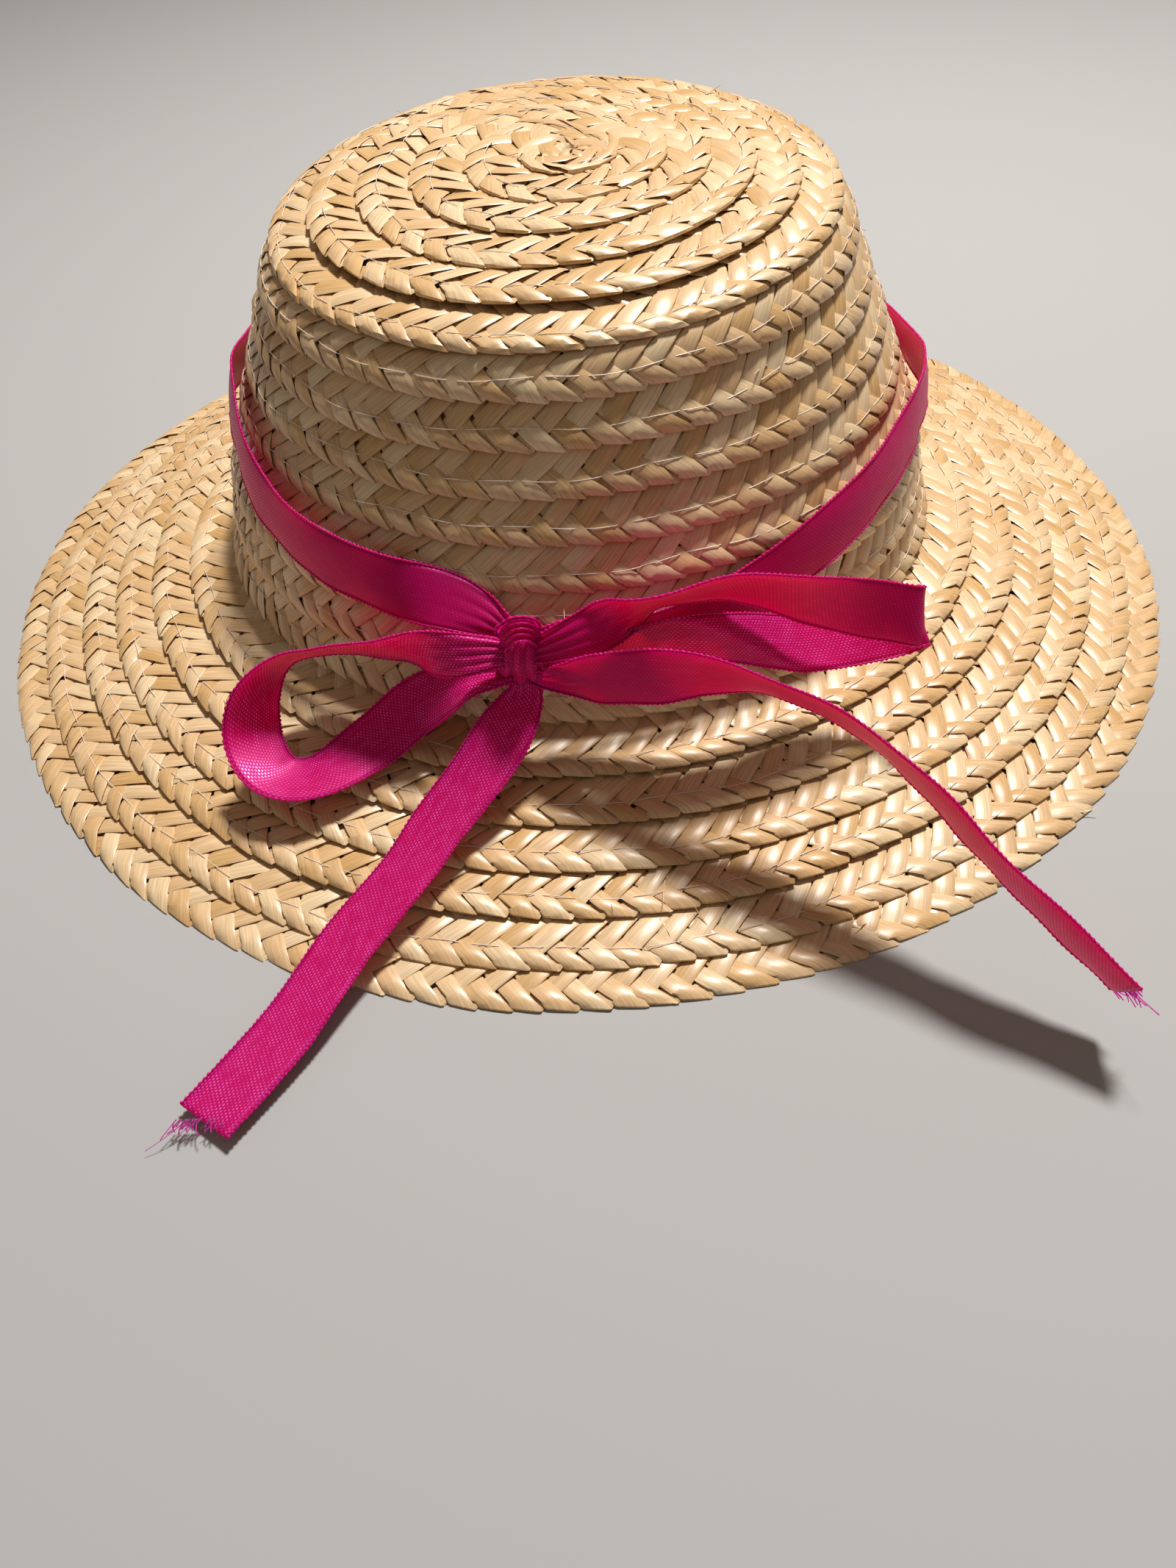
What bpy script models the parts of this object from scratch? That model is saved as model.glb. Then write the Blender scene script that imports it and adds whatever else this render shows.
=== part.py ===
"""Miniature straw hat with a satin ribbon: a plaited straw tip, side crown and brim,
and a ribbon round the crown that is tied in a bow at the front.

Metres, +Z up. The hat stands on the flat under its rim, front towards -Y.
"""
import math

import bmesh
import bpy
import numpy as np
from mathutils import Vector

# Straw: rows of plait, each lapping over the next one down
BRIM_RADIUS = 0.0780
BRIM_SLOPE = math.radians(16.0)
BRIM_ROWS = 6
RIM_EDGE = 0.0010
RIM_FLAT = 0.0020
RIM_CHAMFER = 0.0003
STRAW_WALL = 0.0016
ROW_STEP = 0.0006
LAP = 0.0012
PIECE_GAP = 0.0003

# Side crown: radii at the base and shoulder, how far the waist is nipped in, and
# heights above the base
CROWN_BASE_RADIUS = 0.0470
WAIST_NIP = 0.0021
WAIST_RADIUS = CROWN_BASE_RADIUS - WAIST_NIP
WAIST_RISE = 0.0108
SHOULDER_RADIUS = 0.0331
SHOULDER_RISE = 0.0383
SIDE_ROWS = 8

# Tip: the disc on top, slightly domed, and the shoulder row under its edge
TIP_RADIUS = 0.0277
TIP_DROP = 0.0023
TIP_DOME = 0.0019
TIP_ROWS = 5

# The crown leans: its top is pushed left and forwards, and rises to the right and back
LEAN_ANGLE_RIGHT = math.radians(2.1)
LEAN_ANGLE_BACK = math.radians(4.0)
LEAN_SHIFT_RIGHT = -0.0009
LEAN_SHIFT_BACK = -0.0006

ROUND_STEPS = 56
SMOOTH_ANGLE = math.radians(30.0)

# Row edges that the plain inner side of each piece follows, from the rim inwards or the base up
BRIM_INNER_ROWS = (4, 2)
SIDE_INNER_ROWS = (6, 3, 1)
TIP_INNER_ROWS = (5, 3)

# Ribbon and its knot, which sits on the front of the side crown, left of the middle
RIBBON_WIDTH = 0.0060
RIBBON_THICK = 0.0010
KNOT_TURN = math.radians(8.0)
KNOT_RISE = 0.0098
KNOT_STANDOFF = 0.0030
KNOT_WIDE = 0.0046
KNOT_DEEP = 0.0042
KNOT_TALL = 0.0070
KNOT_SEGMENTS = 20
KNOT_FOLDS = 5
KNOT_FOLD_SHARE = 0.05
BAND_RISE = 0.0120
BAND_EASE = 0.0003
STRIP_STEPS = 3

# Bow: how far each loop and tail reaches from the knot, sideways or forwards
LEFT_LOOP_REACH = 0.0280
RIGHT_LOOP_REACH = 0.0415
RIGHT_TAIL_REACH = 0.0527
LEFT_TAIL_REACH = 0.0412

# Band round the crown. turn: degrees from the knot, leftwards. rise: share of BAND_RISE.
# stand: distance off the straw, as a share of RIBBON_WIDTH. width: share of RIBBON_WIDTH.
# upright: 0 where it leans on the wall, 1 where it stands straight up on its lower selvage.
BAND_TABLE = (
    # turn, rise, stand, width, upright
    (4.5, 0.16, 0.10, 0.45, 0.0),
    (10.0, 0.27, 0.05, 0.90, 0.0),
    (20.0, 0.36, 0.02, 1.00, 0.3),
    (35.0, 0.45, 0.00, 1.00, 0.5),
    (50.0, 0.65, 0.00, 1.00, 0.5),
    (65.0, 0.92, 0.00, 1.00, 0.4),
    (80.0, 0.84, 0.00, 1.00, 0.3),
    (95.0, 0.68, 0.00, 1.00, 0.3),
    (135.0, 0.44, 0.00, 1.00, 0.3),
    (180.0, 0.28, 0.00, 1.00, 0.3),
    (225.0, 0.30, 0.02, 1.00, 0.3),
    (258.0, 0.42, 0.05, 1.00, 0.5),
    (270.0, 0.53, 0.10, 1.00, 0.6),
    (282.0, 0.66, 0.12, 1.00, 0.6),
    (296.0, 0.57, 0.07, 1.00, 0.4),
    (312.0, 0.40, 0.03, 1.00, 0.3),
    (321.0, 0.27, 0.00, 1.00, 0.2),
    (331.0, 0.10, 0.00, 1.00, 0.1),
    (342.0, -0.06, 0.00, 0.95, 0.0),
    (350.0, -0.02, 0.00, 0.75, 0.0),
    (355.0, 0.10, 0.02, 0.40, 0.0),
)

# Loops and tails. out, front, up: centre of the ribbon from the knot, as shares of the reach.
# edge_out, edge_front, edge_up: the way the ribbon's upper edge points. width: share of RIBBON_WIDTH.
LEFT_LOOP_TABLE = (
    # out, front, up, edge_out, edge_front, edge_up, width
    (0.10, 0.03, 0.05, -0.10, 0.50, 0.80, 0.40),
    (0.255, 0.010, 0.035, -0.20, 0.30, 0.80, 0.85),
    (0.490, -0.110, -0.030, -0.30, 0.55, 0.75, 1.00),
    (0.771, -0.203, -0.087, -0.25, 0.65, 0.70, 1.00),
    (0.941, -0.193, -0.117, 0.05, 0.65, 0.75, 1.00),
    (1.047, -0.100, -0.206, 0.60, 0.60, 0.45, 1.00),
    (1.073, 0.010, -0.313, 0.90, 0.40, 0.15, 1.00),
    (1.017, 0.120, -0.376, 0.75, 0.60, 0.10, 1.00),
    (0.919, 0.163, -0.407, 0.20, 0.95, 0.05, 1.00),
    (0.79, 0.14, -0.40, -0.45, 0.85, -0.05, 1.00),
    (0.60, 0.03, -0.35, -0.50, 0.70, -0.45, 1.00),
    (0.42, -0.04, -0.24, -0.55, 0.70, -0.40, 1.00),
    (0.24, -0.01, -0.12, -0.50, 0.85, 0.00, 0.85),
    (0.10, 0.02, -0.07, -0.20, 0.95, 0.10, 0.40),
)
RIGHT_LOOP_TABLE = (
    # out, front, up, edge_out, edge_front, edge_up, width
    (0.070, 0.02, 0.040, -0.20, 0.40, 0.85, 0.40),
    (0.19, 0.03, 0.11, -0.35, 0.35, 0.85, 0.90),
    (0.345, 0.03, 0.17, -0.25, 0.65, 0.70, 1.00),
    (0.525, 0.00, 0.175, -0.10, 0.50, 0.85, 1.00),
    (0.735, -0.03, 0.095, 0.15, 0.05, 1.00, 1.00),
    (0.88, -0.04, 0.050, 0.00, -0.30, 0.90, 1.00),
    (0.985, -0.035, 0.025, -0.05, -0.40, 0.90, 1.00),
    (1.00, -0.06, 0.005, -0.10, -0.40, 0.90, 1.00),
    (0.96, -0.085, -0.025, -0.20, -0.40, 0.85, 1.00),
    (0.79, -0.08, -0.075, -0.30, -0.30, 0.90, 1.00),
    (0.67, -0.05, -0.080, -0.35, -0.10, 0.93, 1.00),
    (0.525, -0.01, -0.060, -0.50, 0.00, 0.85, 1.00),
    (0.36, 0.025, -0.020, -0.35, 0.10, 0.90, 1.00),
    (0.19, 0.020, -0.025, -0.10, 0.20, 0.95, 0.85),
    (0.070, 0.004, -0.025, 0.00, 0.20, 0.95, 0.40),
)
RIGHT_TAIL_TABLE = (
    # out, front, up, edge_out, edge_front, edge_up, width
    (0.050, 0.030, -0.035, -0.10, 0.20, 0.95, 0.40),
    (0.095, 0.055, -0.020, -0.10, 0.10, 0.97, 0.80),
    (0.150, 0.080, 0.000, -0.10, -0.10, 1.00, 1.00),
    (0.250, 0.120, 0.035, 0.10, -0.10, 1.00, 1.00),
    (0.360, 0.155, 0.060, 0.03, 0.30, 0.95, 1.00),
    (0.470, 0.200, 0.055, -0.06, 0.60, 0.80, 1.00),
    (0.590, 0.275, 0.030, -0.08, 0.61, 0.79, 1.00),
    (0.710, 0.385, -0.030, -0.05, 0.59, 0.81, 1.00),
    (0.800, 0.490, -0.095, -0.03, 0.54, 0.84, 1.00),
    (0.900, 0.585, -0.160, -0.05, 0.48, 0.88, 1.00),
    (1.000, 0.685, -0.225, -0.10, 0.40, 0.92, 1.00),
)
LEFT_TAIL_TABLE = (
    # out, front, up, edge_out, edge_front, edge_up, width
    (0.005, 0.040, -0.100, 1.00, 0.00, 0.00, 0.60),
    (0.050, 0.100, -0.145, 0.98, 0.10, -0.15, 0.95),
    (0.130, 0.185, -0.215, 0.98, 0.10, -0.20, 1.00),
    (0.230, 0.285, -0.280, 0.98, 0.10, -0.25, 1.00),
    (0.315, 0.395, -0.330, 1.00, 0.00, -0.20, 1.00),
    (0.460, 0.565, -0.390, 1.00, 0.00, -0.15, 1.00),
    (0.590, 0.775, -0.430, 1.00, 0.00, -0.05, 1.00),
    (0.740, 0.980, -0.442, 1.00, 0.00, 0.00, 1.00),
)

STRAW = ("wheat_straw", (0.66, 0.45, 0.22), 0.42)
SATIN = ("magenta_satin", (0.58, 0.005, 0.20), 0.35)


def clear_scene():
    for item in list(bpy.data.objects):
        bpy.data.objects.remove(item, do_unlink=True)


def make_material(name, colour, roughness):
    material = bpy.data.materials.new(name)
    material.use_nodes = True
    shader = material.node_tree.nodes["Principled BSDF"]
    shader.inputs["Base Color"].default_value = (*colour, 1.0)
    shader.inputs["Roughness"].default_value = roughness
    shader.inputs["Metallic"].default_value = 0.0
    return material


def make_object(name, mesh, collection, finish):
    mesh.name = name
    mesh.materials.clear()
    mesh.materials.append(make_material(f"{name}_{finish[0]}", finish[1], finish[2]))
    piece = bpy.data.objects.new(name, mesh)
    collection.objects.link(piece)
    return piece


# Form lines of the hat: each is a list of (radius, height) row edges, from the inside out

def brim_height(radius):
    """Height of the brim's row edges: a straight slope up from the rim."""
    return RIM_EDGE + (BRIM_RADIUS - radius) * math.tan(BRIM_SLOPE)


BASE_HEIGHT = brim_height(CROWN_BASE_RADIUS)
WAIST_HEIGHT = BASE_HEIGHT + WAIST_RISE
SHOULDER_HEIGHT = BASE_HEIGHT + SHOULDER_RISE
TIP_EDGE_HEIGHT = SHOULDER_HEIGHT + TIP_DROP


def brim_edges():
    """Row edges of the brim, evenly spaced from the crown's base to the rim."""
    radii = np.linspace(CROWN_BASE_RADIUS, BRIM_RADIUS, BRIM_ROWS + 1)
    return [(r, brim_height(r)) for r in radii]


def side_edges():
    """Row edges of the side crown, evenly spaced along shoulder, waist and base."""
    corners = np.array([(SHOULDER_RADIUS, SHOULDER_HEIGHT), (WAIST_RADIUS, WAIST_HEIGHT),
                        (CROWN_BASE_RADIUS, BASE_HEIGHT)])
    lengths = np.linalg.norm(np.diff(corners, axis=0), axis=1)
    along = np.concatenate([[0.0], np.cumsum(lengths)])
    marks = np.linspace(0.0, along[-1], SIDE_ROWS + 1)
    return list(zip(np.interp(marks, along, corners[:, 0]), np.interp(marks, along, corners[:, 1])))


def tip_edges():
    """Row edges of the tip, evenly spaced from its middle, on a shallow dome."""
    radii = np.linspace(0.0, TIP_RADIUS, TIP_ROWS + 1)
    return [(r, TIP_EDGE_HEIGHT + TIP_DOME * (1.0 - (r / TIP_RADIUS) ** 2)) for r in radii]


def outward(start, end):
    """Unit normal of a form line's segment, on the hat's outer side."""
    run = Vector(end) - Vector(start)
    return Vector((-run.y, run.x)).normalized()


def stepped_side(edges):
    """Outer side of lapped rows: each starts one step under the edge of the row above."""
    points = []
    for upper, lower in zip(edges[:-1], edges[1:]):
        normal = outward(upper, lower)
        points.append(Vector(upper) - normal * ROW_STEP)
        points.append(Vector(lower))
    return points


def plain_side(edges, marks):
    """Inner side of the wall under the marked row edges, one wall thickness in."""
    points = []
    for index in marks:
        before = edges[max(index - 1, 0)]
        after = edges[min(index + 1, len(edges) - 1)]
        points.append(Vector(edges[index]) - outward(before, after) * STRAW_WALL)
    return points


def lean_weight(height):
    """Share of the lean at a height: none up to the waist, all of it from the shoulder up."""
    share = (np.asarray(height) - WAIST_HEIGHT) / (SHOULDER_HEIGHT - WAIST_HEIGHT)
    return np.clip(share, 0.0, 1.0)


def lean(points):
    """Push the crown's points sideways and raise them to the right and back, by their height."""
    points = np.array(points, dtype=float)
    weight = lean_weight(points[:, 2])
    points[:, 0] += weight * LEAN_SHIFT_RIGHT
    points[:, 1] += weight * LEAN_SHIFT_BACK
    rise = points[:, 0] * math.tan(LEAN_ANGLE_RIGHT) + points[:, 1] * math.tan(LEAN_ANGLE_BACK)
    points[:, 2] += weight * rise
    return points


def turned(name, profile, closed, collection):
    """Turn a profile about Z with a Screw, keep the result as a mesh and lean it."""
    outline = bpy.data.meshes.new(f"{name}_profile")
    vertices = [(p.x, 0.0, p.y) for p in profile]
    edges = [(i, i + 1) for i in range(len(vertices) - 1)]
    if closed:
        edges.append((len(vertices) - 1, 0))
    outline.from_pydata(vertices, edges, [])
    guide = bpy.data.objects.new(f"{name}_guide", outline)
    guide.hide_render = True
    guide.display_type = "WIRE"
    collection.objects.link(guide)
    screw = guide.modifiers.new("turn", "SCREW")
    screw.axis = "Z"
    screw.angle = 2.0 * math.pi
    screw.steps = ROUND_STEPS
    screw.render_steps = ROUND_STEPS
    screw.use_merge_vertices = True
    screw.merge_threshold = 0.00001
    bpy.context.view_layer.update()
    evaluated = guide.evaluated_get(bpy.context.evaluated_depsgraph_get())
    mesh = bpy.data.meshes.new_from_object(evaluated)
    bpy.data.objects.remove(guide, do_unlink=True)
    places = np.empty(len(mesh.vertices) * 3)
    mesh.vertices.foreach_get("co", places)
    mesh.vertices.foreach_set("co", lean(places.reshape(-1, 3)).ravel())
    mesh.update()
    mesh.shade_smooth()
    mesh.set_sharp_from_angle(angle=SMOOTH_ANGLE)
    return mesh


def brim_mesh(collection):
    """Brim: its inner edge reaches in under the side crown's wall, and its rim is flat below."""
    edges = brim_edges()
    first = Vector(edges[1])
    wall_corner = Vector((CROWN_BASE_RADIUS - STRAW_WALL, BASE_HEIGHT - PIECE_GAP))
    inner_edge = wall_corner + (wall_corner - first).normalized() * LAP
    outer = [inner_edge, first] + stepped_side(edges[1:])
    rim = [Vector((BRIM_RADIUS, RIM_CHAMFER)), Vector((BRIM_RADIUS - RIM_CHAMFER, 0.0)),
           Vector((BRIM_RADIUS - RIM_FLAT, 0.0))]
    inner = plain_side(edges, BRIM_INNER_ROWS)
    inner.append(inner_edge - outward(inner_edge, first) * STRAW_WALL)
    return turned("brim", outer + rim + inner, True, collection)


def side_mesh(collection):
    """Side crown: tucked under the tip's edge at the top, standing on the brim at the bottom."""
    edges = side_edges()
    tip_edge = Vector((TIP_RADIUS, TIP_EDGE_HEIGHT))
    tuck_normal = outward(tip_edge, edges[0])
    tuck = Vector((TIP_RADIUS - LAP, TIP_EDGE_HEIGHT)) - tuck_normal * (STRAW_WALL + PIECE_GAP)
    outer = [tuck, Vector(edges[0])] + stepped_side(edges)
    inner = [Vector((CROWN_BASE_RADIUS - STRAW_WALL, BASE_HEIGHT))]
    inner += plain_side(edges, SIDE_INNER_ROWS)
    inner.append(tuck - tuck_normal * STRAW_WALL)
    return turned("crown_side", outer + inner, True, collection)


def tip_mesh(collection):
    """Tip: a shallow stepped dome, closed in the middle."""
    edges = tip_edges()
    outer = stepped_side(edges)
    outer[0] = Vector(edges[0])
    inner = plain_side(edges, TIP_INNER_ROWS)
    inner.append(Vector((0.0, edges[0][1] - STRAW_WALL)))
    return turned("crown_tip", outer + inner, False, collection)


# Ribbon: an open strip between sections, given its thickness by Solidify

def knot_centre():
    """The knot stands off the straw at its own height and turn from the front."""
    height = BASE_HEIGHT + KNOT_RISE
    radius = wall_radius(height) + KNOT_STANDOFF
    return np.array([-radius * math.sin(KNOT_TURN), -radius * math.cos(KNOT_TURN), height])


def wall_radius(height):
    """Radius of the side crown's row edges at a height, before the lean."""
    heights = (BASE_HEIGHT, WAIST_HEIGHT, SHOULDER_HEIGHT)
    return np.interp(height, heights, (CROWN_BASE_RADIUS, WAIST_RADIUS, SHOULDER_RADIUS))


def smooth_rows(rows, steps):
    """Values between a table's rows, on a Catmull-Rom curve through every column."""
    rows = np.array(rows, dtype=float)
    padded = np.vstack([2 * rows[0] - rows[1], rows, 2 * rows[-1] - rows[-2]])
    t = np.arange(steps)[:, None] / steps
    pieces = []
    for a, b, c, d in zip(padded[:-3], padded[1:-2], padded[2:-1], padded[3:]):
        bend = (2 * a - 5 * b + 4 * c - d) * t + (3 * b - a - 3 * c + d) * t ** 2
        pieces.append(b + 0.5 * t * ((c - a) + bend))
    pieces.append(rows[-1:])
    return np.vstack(pieces)


def strip_mesh(name, centres, edge_ways, widths):
    """Open ribbon: two selvages, one each side of the centre line, square to its run."""
    run = np.gradient(centres, axis=0)
    run /= np.linalg.norm(run, axis=1)[:, None]
    across = edge_ways - run * np.sum(edge_ways * run, axis=1)[:, None]
    across /= np.linalg.norm(across, axis=1)[:, None]
    half = across * (0.5 * widths * RIBBON_WIDTH)[:, None]
    vertices = np.vstack([centres - half, centres + half])
    count = len(centres)
    faces = [(i, i + 1, count + i + 1, count + i) for i in range(count - 1)]
    mesh = bpy.data.meshes.new(name)
    mesh.from_pydata(vertices.tolist(), [], faces)
    return mesh


def ribbon_piece(name, mesh, collection):
    piece = make_object(name, mesh, collection, SATIN)
    wall = piece.modifiers.new("thickness", "SOLIDIFY")
    wall.thickness = RIBBON_THICK
    wall.offset = 0.0
    wall.use_even_offset = True
    wall.use_rim = True
    return piece


def bow_piece(name, table, reach, side, collection):
    """Loop or tail: the table's shares times the reach, from the knot. side: -1 left, 1 right."""
    rows = smooth_rows(table, STRIP_STEPS)
    to_world = np.array([side, -1.0, 1.0])
    centres = knot_centre() + rows[:, 0:3] * reach * to_world
    return ribbon_piece(name, strip_mesh(name, centres, rows[:, 3:6] * to_world, rows[:, 6]), collection)


def band_piece(collection):
    """Band: its lower selvage rests on the side crown all round, its upper one stands off a little."""
    rows = smooth_rows(BAND_TABLE, STRIP_STEPS)
    turn = KNOT_TURN + np.radians(rows[:, 0])
    height = BASE_HEIGHT + KNOT_RISE + rows[:, 1] * BAND_RISE
    half_width = 0.5 * RIBBON_WIDTH
    taper = (wall_radius(height - half_width) - wall_radius(height + half_width)) / RIBBON_WIDTH
    clear = (PIECE_GAP + BAND_EASE + 0.5 * RIBBON_THICK) * np.hypot(1.0, taper)
    stand = rows[:, 2] * RIBBON_WIDTH + rows[:, 4] * taper * half_width
    radius = wall_radius(height) + clear + stand
    centres = lean(np.column_stack([-radius * np.sin(turn), -radius * np.cos(turn), height]))
    inwards = taper * (1.0 - rows[:, 4])
    ways = np.column_stack([inwards * np.sin(turn), inwards * np.cos(turn), np.ones(len(turn))])
    return ribbon_piece("ribbon_band", strip_mesh("ribbon_band", centres, ways, rows[:, 3]), collection)


def knot_piece(collection):
    """Knot: a flattened ball of ribbon, pinched into upright folds."""
    bm = bmesh.new()
    bmesh.ops.create_uvsphere(bm, u_segments=KNOT_SEGMENTS, v_segments=KNOT_SEGMENTS // 2,
                              radius=0.5)
    for vertex in bm.verts:
        turn = math.atan2(vertex.co.y, vertex.co.x)
        fold = 1.0 + KNOT_FOLD_SHARE * math.cos(KNOT_FOLDS * turn)
        vertex.co = Vector((vertex.co.x * fold * KNOT_WIDE, vertex.co.y * fold * KNOT_DEEP,
                            vertex.co.z * KNOT_TALL))
    mesh = bpy.data.meshes.new("bow_knot")
    bm.to_mesh(mesh)
    bm.free()
    mesh.shade_smooth()
    piece = make_object("bow_knot", mesh, collection, SATIN)
    piece.location = knot_centre()
    piece.rotation_euler = (0.0, 0.0, -KNOT_TURN)
    return piece


def centre_on_base(pieces):
    """Move all pieces together, so that the origin is under the middle of their box."""
    bpy.context.view_layer.update()
    corners = np.array([piece.matrix_world @ v.co for piece in pieces for v in piece.data.vertices])
    low = corners.min(axis=0)
    high = corners.max(axis=0)
    shift = Vector((-0.5 * (low[0] + high[0]), -0.5 * (low[1] + high[1]), 0.0))
    for piece in pieces:
        piece.location += shift


def build():
    clear_scene()
    hat = bpy.data.collections.new("straw_hat")
    guides = bpy.data.collections.new("guides")
    for collection in (hat, guides):
        bpy.context.scene.collection.children.link(collection)
    pieces = [
        make_object("crown_tip", tip_mesh(guides), hat, STRAW),
        make_object("crown_side", side_mesh(guides), hat, STRAW),
        make_object("brim", brim_mesh(guides), hat, STRAW),
        band_piece(hat),
        knot_piece(hat),
        bow_piece("bow_loop_left", LEFT_LOOP_TABLE, LEFT_LOOP_REACH, -1.0, hat),
        bow_piece("bow_loop_right", RIGHT_LOOP_TABLE, RIGHT_LOOP_REACH, 1.0, hat),
        bow_piece("bow_tail_left", LEFT_TAIL_TABLE, LEFT_TAIL_REACH, -1.0, hat),
        bow_piece("bow_tail_right", RIGHT_TAIL_TABLE, RIGHT_TAIL_REACH, 1.0, hat),
    ]
    centre_on_base(pieces)


build()
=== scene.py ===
"""Miniature straw hat: one long plait of wheat straw sewn in a spiral, with a magenta
satin ribbon round the crown, tied in a bow. Lengths in the formulas are millimetres.
"""
import math

import bpy
import numpy as np
from mathutils import Matrix, Vector


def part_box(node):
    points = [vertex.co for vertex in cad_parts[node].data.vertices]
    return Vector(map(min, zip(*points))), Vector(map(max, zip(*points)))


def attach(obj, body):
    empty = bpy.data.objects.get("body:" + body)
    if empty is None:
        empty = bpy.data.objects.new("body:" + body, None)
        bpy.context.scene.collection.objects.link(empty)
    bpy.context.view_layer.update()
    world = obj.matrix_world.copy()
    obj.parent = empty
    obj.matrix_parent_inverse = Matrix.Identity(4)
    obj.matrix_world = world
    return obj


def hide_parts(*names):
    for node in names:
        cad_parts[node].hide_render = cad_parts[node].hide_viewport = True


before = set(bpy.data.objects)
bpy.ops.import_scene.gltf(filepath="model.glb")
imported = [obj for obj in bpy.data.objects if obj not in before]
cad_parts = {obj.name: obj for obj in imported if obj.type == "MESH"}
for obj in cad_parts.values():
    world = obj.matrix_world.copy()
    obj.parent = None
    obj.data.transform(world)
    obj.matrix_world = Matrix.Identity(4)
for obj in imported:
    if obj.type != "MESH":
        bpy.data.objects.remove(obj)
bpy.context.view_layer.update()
brim_low, brim_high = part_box("brim")
AXIS = np.array([0.5 * (brim_low.x + brim_high.x), 0.5 * (brim_low.y + brim_high.y), 0.0])


# Camera
# Close to the hat and well above it, straight in front of its middle, so that the near
# brim is wide and the crown's far side is hidden. Its place is in metres from the hat's
# axis, and its three axes are unit vectors.
CAMERA_PLACE = (0.0, -0.13694, 0.09580)
CAMERA_RIGHT = (0.99827955, -0.03874612, -0.04400779)
CAMERA_UP = (0.058347, 0.73061948, 0.68028729)
CAMERA_FORWARD = (-0.00579446, 0.68168461, -0.73162321)
CAMERA_LENS = 26.0
SENSOR_WIDTH = 36.0
NEAREST = 0.005
camera_data = bpy.data.cameras.new("view")
camera_data.lens = CAMERA_LENS
camera_data.sensor_width = SENSOR_WIDTH
camera_data.clip_start = NEAREST
camera = bpy.data.objects.new("view", camera_data)
turn = Matrix((CAMERA_RIGHT, CAMERA_UP, tuple(-v for v in CAMERA_FORWARD))).transposed()
camera.matrix_world = Matrix.Translation(tuple(AXIS + np.array(CAMERA_PLACE))) @ turn.to_4x4()
bpy.context.scene.collection.objects.link(camera)
bpy.context.scene.camera = camera
bpy.context.scene.view_settings.view_transform = "Standard"


# Plait
# Five flattened wheat straws plaited flat, 8 mm wide, of which 5 to 6 mm of each row show.
# Each straw runs slanting from one edge to the other, folds over there and runs back under
# and over the others; the plait is sewn in a spiral from the middle of the top.

# The hat's form: radii, heights and rises in millimetres. The shares are the brim's row
# edges between the fold at the crown's base and the rim.
BRIM_RADIUS = 78.0
RIM_EDGE = 1.0
BRIM_SLOPE = math.radians(16.0)
BASE_RADIUS = 47.0
WAIST_RADIUS = 44.9
WAIST_RISE = 10.8
SHOULDER_RADIUS = 33.1
SHOULDER_RISE = 38.3
TIP_RADIUS = 27.7
TIP_DROP = 2.3
TIP_DOME = 1.9
TIP_ROWS = 5
SIDE_ROWS = 8
BRIM_SHARES = (0.20, 0.38, 0.55, 0.70, 0.87, 1.0)
BASE_HEIGHT = RIM_EDGE + (BRIM_RADIUS - BASE_RADIUS) * math.tan(BRIM_SLOPE)
WAIST_HEIGHT = BASE_HEIGHT + WAIST_RISE
SHOULDER_HEIGHT = BASE_HEIGHT + SHOULDER_RISE
TIP_EDGE_HEIGHT = SHOULDER_HEIGHT + TIP_DROP
DOME_POINTS = 60

# The crown's top is out of true: its slopes to the right and the back, its shift to the side
# and the front, and how far the spiral's middle lies off its centre.
LEAN_RIGHT = math.tan(math.radians(2.1))
LEAN_BACK = math.tan(math.radians(4.0))
LEAN_SHIFT = (-0.9, -0.6)
MIDDLE_SHIFT = (2.7, 0.6)

# Step of length along the meridian, and the length over which its corners are rounded.
FORM_STEP = 0.1
FORM_BLEND = 4.0


def form_line():
    """The hat's meridian: radius and height at even steps of length from the middle of the tip.
    Straight runs between the dome, shoulder, waist, base and rim, rounded by a moving average."""
    dome_radius = np.linspace(0.0, TIP_RADIUS, DOME_POINTS)
    dome = np.column_stack([dome_radius,
                            TIP_EDGE_HEIGHT + TIP_DOME * (1.0 - (dome_radius / TIP_RADIUS) ** 2)])
    corners = np.array([(SHOULDER_RADIUS, SHOULDER_HEIGHT), (WAIST_RADIUS, WAIST_HEIGHT),
                        (BASE_RADIUS, BASE_HEIGHT), (BRIM_RADIUS, RIM_EDGE)])
    line = np.vstack([dome, corners])
    along = np.concatenate([[0.0], np.cumsum(np.linalg.norm(np.diff(line, axis=0), axis=1))])
    marks = np.arange(0.0, along[-1], FORM_STEP)
    even = np.column_stack([np.interp(marks, along, line[:, 0]), np.interp(marks, along, line[:, 1])])
    reach = int(0.5 * FORM_BLEND / FORM_STEP)
    head = even[0] - (even[reach:0:-1] - even[0]) * (1.0, -1.0)
    tail = 2.0 * even[-1] - even[-2:-reach - 2:-1]
    padded = np.vstack([head, even, tail])
    window = np.ones(2 * reach + 1) / (2 * reach + 1)
    smooth = np.column_stack([np.convolve(padded[:, i], window, "valid") for i in (0, 1)])
    return marks, smooth, along, line


form_along, form_points, corner_along, corner_points = form_line()
form_slope = np.gradient(form_points, axis=0)
form_slope /= np.linalg.norm(form_slope, axis=1)[:, None]
shoulder_at, _, base_at, rim_at = corner_along[-4:]
tip_marks = np.interp(np.linspace(0.0, TIP_RADIUS, TIP_ROWS + 1),
                      corner_points[:DOME_POINTS, 0], corner_along[:DOME_POINTS])
brim_marks = base_at + (rim_at - base_at) * np.array(BRIM_SHARES)
EDGE_MARKS = np.concatenate([tip_marks, np.linspace(shoulder_at, base_at, SIDE_ROWS + 1), brim_marks])
LAST_ROW = len(EDGE_MARKS) - 1

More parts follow.
